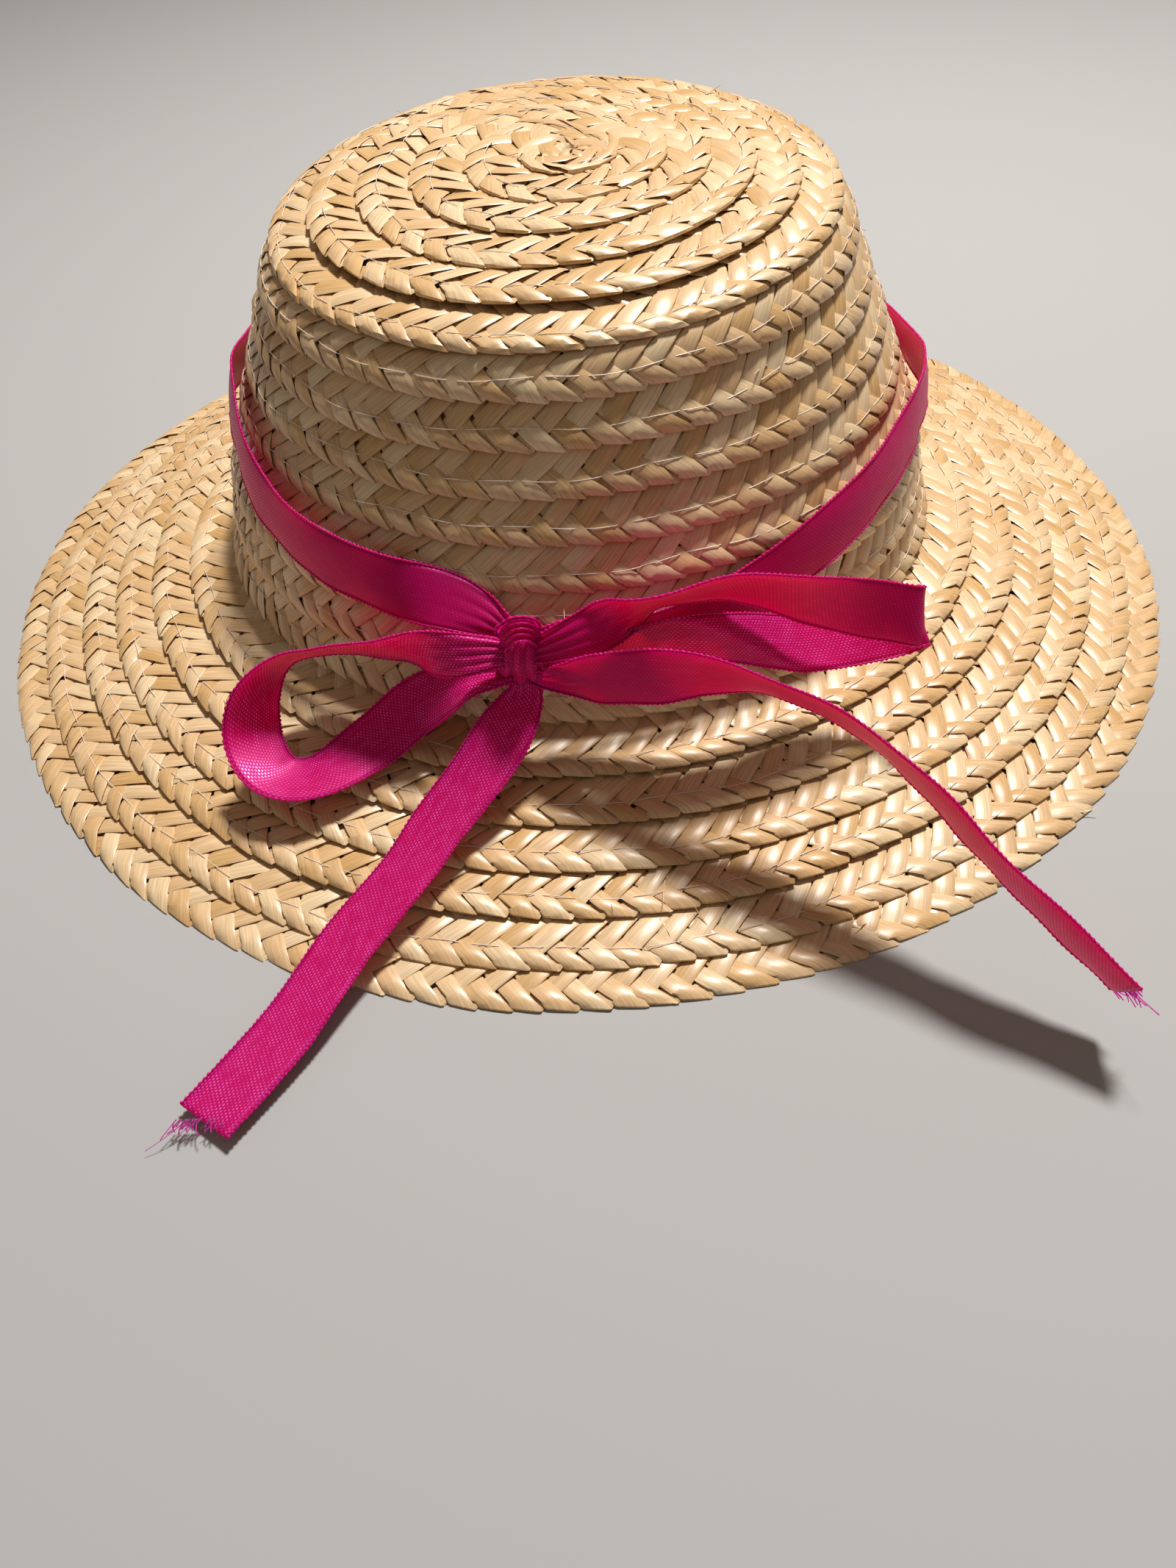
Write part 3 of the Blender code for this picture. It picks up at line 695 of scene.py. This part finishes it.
def smooth_rows(rows, steps=12):
    """Values between a table's rows, on a Catmull-Rom curve through every column."""
    rows = np.array(rows, dtype=float)
    padded = np.vstack([2 * rows[0] - rows[1], rows, 2 * rows[-1] - rows[-2]])
    t = np.arange(steps)[None, :, None] / steps
    a, b, c, d = (padded[i:len(padded) - 3 + i, None, :] for i in range(4))
    bend = (2 * a - 5 * b + 4 * c - d) * t + (3 * b - a - 3 * c + d) * t ** 2
    between = b + 0.5 * t * ((c - a) + bend)
    return np.vstack([between.reshape(-1, rows.shape[1]), rows[-1:]])


def ribbon_strip(centres, ways, widths, phase, twist):
    """A ribbon along a centre line: at even stations, a row of points across it on each side.
    It is a little cupped, and its selvages wave gently. twist: where a crease across the ribbon
    meets its upper and its lower selvage, as shares of its length, with one plane on each side.
    Returns its points ring by ring, its length and place across at each, its stations, and its
    two selvages with their outward and upward ways."""
    along = np.concatenate([[0.0], np.cumsum(np.linalg.norm(np.diff(centres, axis=0), axis=1))])
    marks = np.linspace(0.0, along[-1], int(along[-1] / STATION_STEP) + 1)
    table = np.column_stack([centres, ways, widths])
    even = np.column_stack([np.interp(marks, along, column) for column in table.T])
    run = unit(np.gradient(even[:, 0:3], axis=0))
    across = unit(even[:, 3:6] - run * np.sum(even[:, 3:6] * run, axis=1)[:, None])
    share = np.linspace(-1.0, 1.0, ACROSS_STEPS)
    half = 0.5 * RIBBON_WIDTH * even[:, 6]
    gather = 1.0 - even[:, 6]
    cup = CUP * (1.0 - share ** 2)[None, :] + CREASE * gather[:, None] * np.cos(4.0 * np.pi * share)[None, :]
    wave = WAVE * np.sin(marks / WAVE_RUN + phase)[:, None] * share[None, :] ** 3
    lower_share = np.clip(-share, 0.0, 1.0)[None, :]
    wave = wave + SHORT_WAVE * np.sin(marks / SHORT_WAVE_RUN + 2.0 * phase)[:, None] * lower_share ** 3
    sheet = even[:, None, 0:3] + across[:, None, :] * (half[:, None] * share[None, :])[..., None]
    if twist is not None:
        upper, lower = (int(end * (len(marks) - 1)) for end in twist)
        first, last = min(upper, lower), max(upper, lower)
        creased = slice(first, last + 1)
        above_way, below_way = across[first], across[last]
        if upper < lower:
            above_way, below_way = below_way, above_way
        passed = np.abs(np.arange(first, last + 1) - upper)[:, None] / (last - first)
        drop = half[creased, None] * (1.0 - share[None, :])
        near = np.minimum(drop, 2.0 * half[creased, None] * passed)
        sheet[creased] = (sheet[creased, -1:] - above_way * near[..., None]
                          - below_way * (drop - near)[..., None])
    normal = unit(np.cross(np.gradient(sheet, axis=0), np.gradient(sheet, axis=1)))
    sheet = sheet + normal * (cup + wave)[..., None]
    lift = normal * (0.5 * RIBBON_THICK * np.sqrt(1.0 - EDGE_THINNING * share ** 2))[None, :, None]
    ring = np.concatenate([sheet + lift, (sheet - lift)[:, ::-1]], axis=1)
    lengths = np.broadcast_to(marks[:, None], ring.shape[:2])
    places = np.concatenate([half[:, None] * share, (half[:, None] * share)[:, ::-1]], axis=1)
    selvages = [(sheet[:, i], way * across, normal[:, i]) for i, way in ((0, -1.0), (-1, 1.0))]
    return ring, lengths, places, marks, selvages


def spread(values, marks, finer):
    """Values at marks, read off at finer marks, column by column."""
    return np.column_stack([np.interp(finer, marks, column) for column in values.T])


FACE_SIDE = 0.0
BACK_SIDE = 1.0
SELVAGE = 2.0


def ribbon_piece(name, centres, ways, widths, phase, twist=None, ending="_satin"):
    """A piece of ribbon with its looped selvages, as one object that stands for the solid
    of the same name. Its map runs along it in u and across it in v, in millimetres, and each
    point knows whether it is on the face, the back or a selvage."""
    ring, lengths, places, marks, selvages = ribbon_strip(centres, ways, widths, phase, twist)
    parts = [ring[None]]
    u_parts = [lengths]
    v_parts = [places]
    side = np.full(ring.shape[:2], FACE_SIDE)
    side[:, ACROSS_STEPS:] = BACK_SIDE
    side_parts = [side]
    finer = np.arange(0.0, marks[-1], PICOT_STATION)
    swell = 0.5 + 0.5 * np.cos(2.0 * np.pi * finer / PICOT_STEP)
    uneven = 1.0 + PICOT_UNEVEN * np.sin(finer * 3.7 + phase) * np.sin(finer * 1.3)
    for line, out, up in selvages:
        place = spread(line, marks, finer)
        outward = unit(spread(out, marks, finer))
        upward = unit(spread(up, marks, finer))
        place = place + outward * (PICOT_OUT + PICOT_REACH * swell * uneven)[:, None]
        radius = PICOT_RADIUS + PICOT_SWELL * swell * uneven
        loop = tube(place, outward, upward, radius)
        parts.append(loop[None])
        u_parts.append(np.broadcast_to(finer[:, None], loop.shape[:2]))
        v_parts.append(np.full(loop.shape[:2], 0.55 * RIBBON_WIDTH))
        side_parts.append(np.full(loop.shape[:2], SELVAGE))
    faces = []
    start = 0
    for part in parts:
        quads, caps = closed_strips(part)
        faces += [quads + start, caps + start]
        start += part.shape[1] * part.shape[2]
    points = np.concatenate([part.reshape(-1, 3) for part in parts])
    u, v, sides = (np.concatenate([p.ravel() for p in group]) for group in (u_parts, v_parts, side_parts))
    piece = make_piece(name + ending, points, faces, (u, v), sides)
    piece.data.materials.append(magenta_satin)
    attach(piece, "root")
    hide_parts(name)


# The weave, drawn about twice as coarse as the real one so that it shows: length of a dash
# along the ribbon, the distance between two rows of dashes, and how far each row starts past
# the last one, as a share of a dash.
WEFT_STEP = 0.42
WARP_STEP = 0.27
WEAVE_SHIFT = 0.4


def satin_material():
    """Polyester satin ribbon: deep magenta, thin enough that light glows through it. Threads
    float over four and under one, so short dashes show in slanting rows, flatter on the face
    than on the back and the looped selvages. The dashes are painted a brighter pink: painted
    highlights, the weave's glints laid into its colour."""
    material = bpy.data.materials.new("woven_polyester_satin")
    material.use_nodes = True
    tree = material.node_tree
    shader = tree.nodes["Principled BSDF"]
    uv = add_node(tree, "ShaderNodeUVMap", uv_map="along_across")
    side = add_node(tree, "ShaderNodeAttribute", attribute_name="kind")
    parts = add_node(tree, "ShaderNodeSeparateXYZ", [(uv, 0, 0)])
    column = add_node(tree, "ShaderNodeMath", [(parts, 1, 0)], operation="DIVIDE", in_1=WARP_STEP)
    number = add_node(tree, "ShaderNodeMath", [(column, 0, 0)], operation="FLOOR")
    shift = add_node(tree, "ShaderNodeMath", [(number, 0, 0)], operation="MULTIPLY", in_1=WEAVE_SHIFT)
    pick = add_node(tree, "ShaderNodeMath", [(parts, 0, 0)], operation="DIVIDE", in_1=WEFT_STEP)
    staggered = add_node(tree, "ShaderNodeMath", [(pick, 0, 0), (shift, 0, 1)], operation="ADD")
    along = add_node(tree, "ShaderNodeMath", [(staggered, 0, 0)], operation="FRACT")
    beside = add_node(tree, "ShaderNodeMath", [(column, 0, 0)], operation="FRACT")
    humps = []
    for share in (along, beside):
        ping = add_node(tree, "ShaderNodeMath", [(share, 0, 0)], operation="PINGPONG", in_1=0.5)
        hump = add_node(tree, "ShaderNodeMapRange", [(ping, 0, 0)], interpolation_type="SMOOTHSTEP",
                        in_1=0.04, in_2=0.36, in_3=0.0, in_4=1.0)
        humps.append(hump)
    dash = add_node(tree, "ShaderNodeMath", [(humps[0], 0, 0), (humps[1], 0, 1)], operation="MULTIPLY")
    drift_map = add_node(tree, "ShaderNodeMapping", [(uv, 0, 0)], in_3=(0.6, 1.6, 1.0))
    drift = add_node(tree, "ShaderNodeTexNoise", [(drift_map, 0, 0)], in_2=1.0, in_3=2.0)
    fuzz_map = add_node(tree, "ShaderNodeMapping", [(uv, 0, 0)], in_3=(2.5, 9.0, 1.0))
    fuzz = add_node(tree, "ShaderNodeTexNoise", [(fuzz_map, 0, 0)], in_2=1.0, in_3=2.0)
    back = add_node(tree, "ShaderNodeMapRange", [(side, 2, 0)], in_1=0.0, in_2=1.0, in_3=0.6, in_4=1.0)
    strength = add_node(tree, "ShaderNodeMath", [(dash, 0, 0), (back, 0, 1)], operation="MULTIPLY")
    vary = add_node(tree, "ShaderNodeMapRange", [(drift, 0, 0)], in_1=0.3, in_2=0.7, in_3=0.55, in_4=1.1)
    weave_glint = add_node(tree, "ShaderNodeMath", [(strength, 0, 0), (vary, 0, 1)], operation="MULTIPLY")
    # Painted highlight: the colour runs from the ribbon's own magenta up to a bright pink laid on the dashes
    # as fixed glints, fullest on the back, the selvages and the loose threads.
    colour = add_node(tree, "ShaderNodeValToRGB", [(weave_glint, 0, 0)])
    colour.color_ramp.elements[0].color = linear("#AE0059")
    colour.color_ramp.elements[1].color = linear("#FF62BE")
    half_glint = colour.color_ramp.elements.new(0.55)
    half_glint.color = linear("#D0106F")
    tree.links.new(colour.outputs[0], shader.inputs["Base Color"])
    gloss = add_node(tree, "ShaderNodeMapRange", [(weave_glint, 0, 0)], in_1=0.0, in_2=1.0, in_3=0.55, in_4=0.2)
    tree.links.new(gloss.outputs[0], shader.inputs["Roughness"])
    relief = add_node(tree, "ShaderNodeMath", [(fuzz, 0, 0)], operation="MULTIPLY", in_1=0.35)
    height = add_node(tree, "ShaderNodeMath", [(strength, 0, 0), (relief, 0, 1)], operation="ADD")
    bump = add_node(tree, "ShaderNodeBump", [(height, 0, 2)], in_0=0.8)
    bump.inputs["Distance"].default_value = 0.00012
    tree.links.new(bump.outputs[0], shader.inputs["Normal"])
    shader.inputs["IOR"].default_value = 1.6
    shader.inputs["Specular Tint"].default_value = linear("#FF74C4")
    shader.inputs["Subsurface Weight"].default_value = 0.8
    shader.inputs["Subsurface Radius"].default_value = (1.0, 0.05, 0.45)
    shader.inputs["Subsurface Scale"].default_value = 0.0013
    return material


magenta_satin = satin_material()


def knot_centre():
    """The knot stands off the straw at its own height and turn from the front."""
    height = BASE_HEIGHT + KNOT_RISE
    radius = wall_radius(height) + KNOT_STANDOFF
    return np.array([-radius * math.sin(KNOT_TURN), -radius * math.cos(KNOT_TURN), height])


def band_piece():
    """The band goes once round the wall. Its lower selvage keeps BAND_CLEAR and the row's stand
    off the straw, and its upper one stands off by the row's share of the wall's taper more."""
    rows = smooth_rows(BAND_TABLE)
    around = KNOT_TURN + np.radians(rows[:, 0])
    height = BASE_HEIGHT + KNOT_RISE + rows[:, 1] * BAND_RISE
    half_width = 0.5 * RIBBON_WIDTH
    taper = (wall_radius(height - half_width) - wall_radius(height + half_width)) / RIBBON_WIDTH
    stand = rows[:, 2] * RIBBON_WIDTH + rows[:, 4] * taper * half_width
    radius = wall_radius(height) + BAND_CLEAR + stand
    centres = lean(np.column_stack([-radius * np.sin(around), -radius * np.cos(around), height]))
    inwards = taper * (1.0 - rows[:, 4])
    ways = np.column_stack([inwards * np.sin(around), inwards * np.cos(around), np.ones(len(around))])
    ribbon_piece("ribbon_band", centres[::-1], ways[::-1], rows[::-1, 3], 0.4)


band_piece()


# Bow loops and tails
# The ends of the same ribbon, tied in a bow: two loops and two tails that are held out
# stiffly by the weave. The right loop is folded over at its end and creased across its lower
# strand, and both tails are cut off square.
LEFT_LOOP_REACH = 28.0
RIGHT_LOOP_REACH = 41.5
RIGHT_TAIL_REACH = 52.7
LEFT_TAIL_REACH = 41.2

# out, front, up: the ribbon's centre from the knot, as shares of the reach.
# edge_out, edge_front, edge_up: the way its upper edge points. width: share of its width.
LEFT_LOOP_TABLE = (
    (0.040, 0.030, 0.040, -0.10, -0.60, 0.60, 0.35),
    (0.104, 0.017, 0.039, -0.10, -0.60, 0.60, 0.50),
    (0.255, 0.010, 0.035, -0.20, -0.30, 0.70, 0.75),
    (0.490, -0.110, -0.030, -0.30, 0.55, 0.75, 1.00),
    (0.771, -0.203, -0.087, -0.25, 0.65, 0.70, 1.00),
    (0.941, -0.193, -0.117, 0.05, 0.65, 0.75, 1.00),
    (1.047, -0.100, -0.206, 0.60, 0.60, 0.45, 1.00),
    (1.073, 0.010, -0.313, 0.90, 0.40, 0.15, 1.00),
    (1.017, 0.120, -0.376, 0.75, 0.60, 0.10, 1.00),
    (0.919, 0.163, -0.407, 0.20, 0.95, 0.05, 1.00),
    (0.79, 0.14, -0.40, -0.45, 0.85, -0.05, 1.00),
    (0.60, 0.03, -0.35, -0.50, 0.70, -0.45, 1.00),
    (0.42, -0.04, -0.24, -0.55, 0.70, -0.40, 1.00),
    (0.24, -0.01, -0.12, -0.50, 0.85, 0.00, 0.85),
    (0.10, 0.02, -0.07, -0.20, 0.95, 0.10, 0.50),
    (0.04, 0.02, -0.06, -0.20, 0.95, 0.10, 0.35),
)
RIGHT_LOOP_TABLE = (
    (0.025, 0.02, 0.030, -0.20, -0.50, 0.70, 0.35),
    (0.070, 0.02, 0.045, -0.20, -0.50, 0.70, 0.50),
    (0.17, 0.03, 0.090, -0.35, -0.60, 0.60, 0.75),
    (0.25, 0.03, 0.135, -0.30, 0.00, 0.60, 0.80),
    (0.345, 0.03, 0.17, -0.25, 0.65, 0.70, 1.00),
    (0.525, 0.00, 0.175, -0.10, 0.50, 0.85, 1.00),
    (0.735, -0.03, 0.095, 0.15, 0.05, 1.00, 1.00),
    (0.88, -0.04, 0.050, 0.00, -0.30, 0.90, 1.00),
    (0.985, -0.035, 0.025, -0.05, -0.40, 0.90, 1.00),
    (1.00, -0.06, 0.005, -0.10, -0.40, 0.90, 1.00),
    (0.96, -0.075, -0.035, -0.20, -0.55, 0.75, 1.00),
    (0.79, -0.055, -0.050, -0.20, -0.75, 0.60, 1.00),
    (0.67, -0.030, -0.035, -0.15, -0.75, 0.65, 1.00),
    (0.525, -0.005, 0.000, -0.25, -0.35, 0.85, 1.00),
    (0.36, 0.015, 0.040, -0.30, 0.15, 0.90, 1.00),
    (0.19, 0.015, 0.000, -0.15, 0.20, 0.95, 0.85),
    (0.070, 0.000, -0.020, 0.00, 0.20, 0.95, 0.50),
    (0.025, 0.000, -0.020, 0.00, 0.20, 0.95, 0.35),
)
RIGHT_TAIL_TABLE = (
    (0.020, 0.020, -0.030, -0.10, 0.20, 0.95, 0.35),
    (0.050, 0.030, -0.035, -0.10, 0.20, 0.95, 0.50),
    (0.095, 0.055, -0.020, -0.10, 0.10, 0.97, 0.80),
    (0.150, 0.080, 0.000, -0.10, -0.10, 1.00, 1.00),
    (0.250, 0.120, 0.035, 0.10, -0.10, 1.00, 1.00),
    (0.360, 0.155, 0.060, 0.03, 0.30, 0.95, 1.00),
    (0.470, 0.200, 0.055, -0.06, 0.60, 0.80, 1.00),
    (0.590, 0.275, 0.030, -0.08, 0.61, 0.79, 1.00),
    (0.710, 0.385, -0.030, -0.05, 0.59, 0.81, 1.00),
    (0.800, 0.490, -0.095, -0.03, 0.54, 0.84, 1.00),
    (0.900, 0.585, -0.160, -0.05, 0.48, 0.88, 1.00),
    (1.000, 0.685, -0.225, -0.10, 0.40, 0.92, 1.00),
)
LEFT_TAIL_TABLE = (
    (0.000, 0.020, -0.060, 1.00, 0.00, 0.00, 0.40),
    (0.005, 0.040, -0.100, 1.00, 0.00, 0.00, 0.65),
    (0.050, 0.100, -0.145, 0.98, 0.10, -0.15, 0.95),
    (0.130, 0.185, -0.215, 0.98, 0.10, -0.20, 1.00),
    (0.230, 0.285, -0.280, 0.98, 0.10, -0.25, 1.00),
    (0.315, 0.395, -0.330, 1.00, 0.00, -0.20, 1.00),
    (0.460, 0.565, -0.390, 1.00, 0.00, -0.15, 1.00),
    (0.590, 0.775, -0.430, 1.00, 0.00, -0.05, 1.00),
    (0.740, 0.980, -0.442, 1.00, 0.00, 0.00, 1.00),
)


def bow_piece(name, table, reach, way, phase, twist=None):
    """A loop or tail: the table's shares times the reach, from the knot. way: -1 left, 1 right.
    phase: where the waves of its selvages begin."""
    rows = smooth_rows(table)
    to_world = np.array([way, -1.0, 1.0])
    centres = knot_centre() + rows[:, 0:3] * reach * to_world
    ribbon_piece(name, centres, rows[:, 3:6] * to_world, np.minimum(rows[:, 6], 1.0), phase, twist)


bow_piece("bow_loop_left", LEFT_LOOP_TABLE, LEFT_LOOP_REACH, -1.0, 1.1)
bow_piece("bow_loop_right", RIGHT_LOOP_TABLE, RIGHT_LOOP_REACH, 1.0, 2.3, (0.83, 0.665))
bow_piece("bow_tail_left", LEFT_TAIL_TABLE, LEFT_TAIL_REACH, -1.0, 3.2)
bow_piece("bow_tail_right", RIGHT_TAIL_TABLE, RIGHT_TAIL_REACH, 1.0, 4.0)


# Frayed ends
# The cut ends of both tails have begun to fray: loose magenta threads of uneven length
# stick out of the weave, with one long one on each tail.
FRAY_RADIUS = 0.06
FRAY_ROOT = 0.4
FRAY_CURL = 0.45
FRAY_LEAST = 0.4
FRAY_SPREAD = 0.48
LONG_THREAD = 1.5
LONG_THREAD_CURL = 0.6


def fray_piece(name, table, reach, way, count, length, seed):
    """Loose threads from a tail's end, spread over its width, each as long as the square of an
    even draw from FRAY_LEAST to 1, and curling away with the square of its share."""
    draw = np.random.default_rng(seed)
    rows = np.array(table[-2:])[:, 0:6]
    to_world = np.array([way, -1.0, 1.0])
    end = knot_centre() + rows[1, 0:3] * reach * to_world
    run = unit((rows[1, 0:3] - rows[0, 0:3]) * to_world)
    across = unit(rows[1, 3:6] * to_world)
    above = np.cross(run, across)
    share = np.linspace(0.0, 1.0, 7)[None, :, None]
    size = (length * draw.uniform(FRAY_LEAST, 1.0, count) ** 2)[:, None, None]
    size[0] = LONG_THREAD * length
    place = draw.uniform(-FRAY_SPREAD, FRAY_SPREAD, count)[:, None, None] * RIBBON_WIDTH * across
    sway = draw.normal(0.0, FRAY_CURL, (2, count))[:, :, None, None]
    sway[0, 0] = LONG_THREAD_CURL
    line = (end + place - FRAY_ROOT * run + run * (size + FRAY_ROOT) * share
            + (across * sway[0] + above * 0.5 * sway[1]) * size * share ** 2)
    angle = np.arange(4) * 0.5 * np.pi
    section = np.cos(angle)[:, None] * across + np.sin(angle)[:, None] * above
    places = line[:, :, None, :] + FRAY_RADIUS * section
    every = np.zeros(places.shape[:-1])
    # Painted highlight: every point of a thread is mapped to the middle of a dash, so the whole thread takes
    # the weave's bright painted glint colour.
    maps = (0.5 * WEFT_STEP + every, 0.5 * WARP_STEP + every)
    piece = make_piece(name + "_fray", places, closed_strips(places), maps, SELVAGE + every)
    piece.data.materials.append(magenta_satin)
    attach(piece, "root")
    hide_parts(name)


fray_piece("bow_tail_left", LEFT_TAIL_TABLE, LEFT_TAIL_REACH, -1.0, 46, 1.8, 21)
fray_piece("bow_tail_right", RIGHT_TAIL_TABLE, RIGHT_TAIL_REACH, 1.0, 24, 2.0, 22)


# Knot
# The ribbon's own turn round the middle of the bow, pulled tight, so that it gathers into
# upright creases and narrows towards the top.
KNOT_WIDE = 4.3
KNOT_DEEP = 4.0
KNOT_TALL = 6.4
KNOT_AROUND = 72
KNOT_ALONG = 33
KNOT_BODY = 0.78
KNOT_CREASE = 0.28
KNOT_CREASES = 3.1
KNOT_FAN = 0.22
KNOT_SKEW = 0.25
KNOT_DRAWN_IN = 0.72
KNOT_END_POWER = 2.6
CREASE_BEND = 0.6
CREASE_POWER = 0.8
KNOT_MEAN_RADIUS = 2.6
KNOT_GRAIN_AND_GLINT = 0.6


def knot_piece():
    """A barrel round a level axis: its section is an oval, drawn in at both ends, and ripples
    across the axis are its creases, which spread towards the bottom."""
    around = np.linspace(0.0, 2.0 * np.pi, KNOT_AROUND, endpoint=False)[:, None]
    share = np.linspace(-1.0, 1.0, KNOT_ALONG)[None, :]
    swell = np.sqrt(np.clip(1.0 - KNOT_DRAWN_IN * np.abs(share) ** KNOT_END_POWER, 0.0, 1.0))
    fan = 1.0 - KNOT_FAN * np.sin(around)
    bent = CREASE_BEND * np.sin(around + 0.6)
    ripple = np.sin(KNOT_CREASES * np.pi * (0.5 + 0.5 * share) + bent)
    size = swell * (KNOT_BODY + KNOT_CREASE * np.abs(ripple) ** CREASE_POWER)
    across = 0.5 * KNOT_WIDE * share * fan + KNOT_SKEW * np.sin(around)
    front = -0.5 * KNOT_DEEP * size * np.cos(around)
    up = 0.5 * KNOT_TALL * size * np.sin(around)
    cos_turn, sin_turn = math.cos(-KNOT_TURN), math.sin(-KNOT_TURN)
    centre = knot_centre()
    places = np.stack([centre[0] + across * cos_turn - front * sin_turn,
                       centre[1] + across * sin_turn + front * cos_turn,
                       centre[2] + up + 0.0 * across], axis=-1)
    rings = np.swapaxes(places, 0, 1)[None]
    maps = (np.broadcast_to((around * KNOT_MEAN_RADIUS).T, rings.shape[1:3]),
            np.broadcast_to((share * 0.5 * RIBBON_WIDTH).T, rings.shape[1:3]))
    # The knot's grain lies between the face's and the back's, and so does the brightness of its painted
    # glints.
    side = np.full(rings.shape[1:3], KNOT_GRAIN_AND_GLINT * BACK_SIDE)
    piece = make_piece("bow_knot_satin", rings, closed_strips(rings), maps, side)
    piece.data.materials.append(magenta_satin)
    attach(piece, "root")
    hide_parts("bow_knot")


knot_piece()

# out, front, up: the small fold's centre from the knot's, in millimetres, with the way that
# its upper edge points, and the share of the ribbon's width.
FOLD_TABLE = (
    (-1.2, 0.4, 2.2, -0.20, -0.50, 0.80, 0.30),
    (-1.5, 0.9, 3.4, -0.40, -0.60, 0.60, 0.36),
    (-0.3, 1.1, 4.4, 0.00, -0.80, 0.50, 0.40),
    (1.2, 0.8, 4.1, 0.30, -0.70, 0.60, 0.36),
    (1.6, 0.2, 2.6, 0.20, -0.50, 0.80, 0.30),
)
fold_rows = smooth_rows(FOLD_TABLE)
fold_way = np.array([1.0, -1.0, 1.0])
ribbon_piece("bow_knot", knot_centre() + fold_rows[:, 0:3] * fold_way, fold_rows[:, 3:6] * fold_way,
             fold_rows[:, 6], 0.9, None, "_fold")


# Floor
# A plain pale matt board on which the hat lies, wide enough to fill the view from the front
# and to reach far past the hat in the others. It is no part of the hat.
FLOOR_HALF = 3.0
floor_mesh = bpy.data.meshes.new("floor")
floor_mesh.from_pydata([(-FLOOR_HALF, -FLOOR_HALF, 0.0), (FLOOR_HALF, -FLOOR_HALF, 0.0),
                        (FLOOR_HALF, FLOOR_HALF, 0.0), (-FLOOR_HALF, FLOOR_HALF, 0.0)], [], [(0, 1, 2, 3)])
floor = bpy.data.objects.new("floor", floor_mesh)
bpy.context.scene.collection.objects.link(floor)
floor_paint = bpy.data.materials.new("pale_matt_backdrop")
floor_paint.use_nodes = True
floor_shader = floor_paint.node_tree.nodes["Principled BSDF"]
floor_shader.inputs["Base Color"].default_value = linear("#AEAFB0")
floor_shader.inputs["Roughness"].default_value = 0.9
floor_mesh.materials.append(floor_paint)


# Light
# One small round lamp above and behind the hat, slightly to its right, so that the front of
# the crown is in shade and the right tail throws its shadow forwards; a dim pale room fills
# the shade.
KEY_DIRECTION = np.array([-0.15, -0.38, -0.91])
KEY_TARGET = AXIS + np.array([0.015, -0.055, 0.010])
KEY_DISTANCE = 0.55
KEY_SIZE = 0.085
KEY_WATTS = 3.9
ROOM_STRENGTH = 0.19
key_data = bpy.data.lights.new("key", "AREA")
key_data.shape = "DISK"
key_data.size = KEY_SIZE
key_data.energy = KEY_WATTS
key_data.color = linear("#FFFAF4")[:3]
key = bpy.data.objects.new("key", key_data)
key.location = tuple(KEY_TARGET - KEY_DIRECTION * KEY_DISTANCE)
key.rotation_mode = "QUATERNION"
key.rotation_quaternion = Vector(KEY_DIRECTION).to_track_quat("-Z", "Y")
bpy.context.scene.collection.objects.link(key)
room = bpy.data.worlds.new("room")
room.use_nodes = True
room.node_tree.nodes["Background"].inputs["Color"].default_value = linear("#FFEBD8")
room.node_tree.nodes["Background"].inputs["Strength"].default_value = ROOM_STRENGTH
bpy.context.scene.world = room
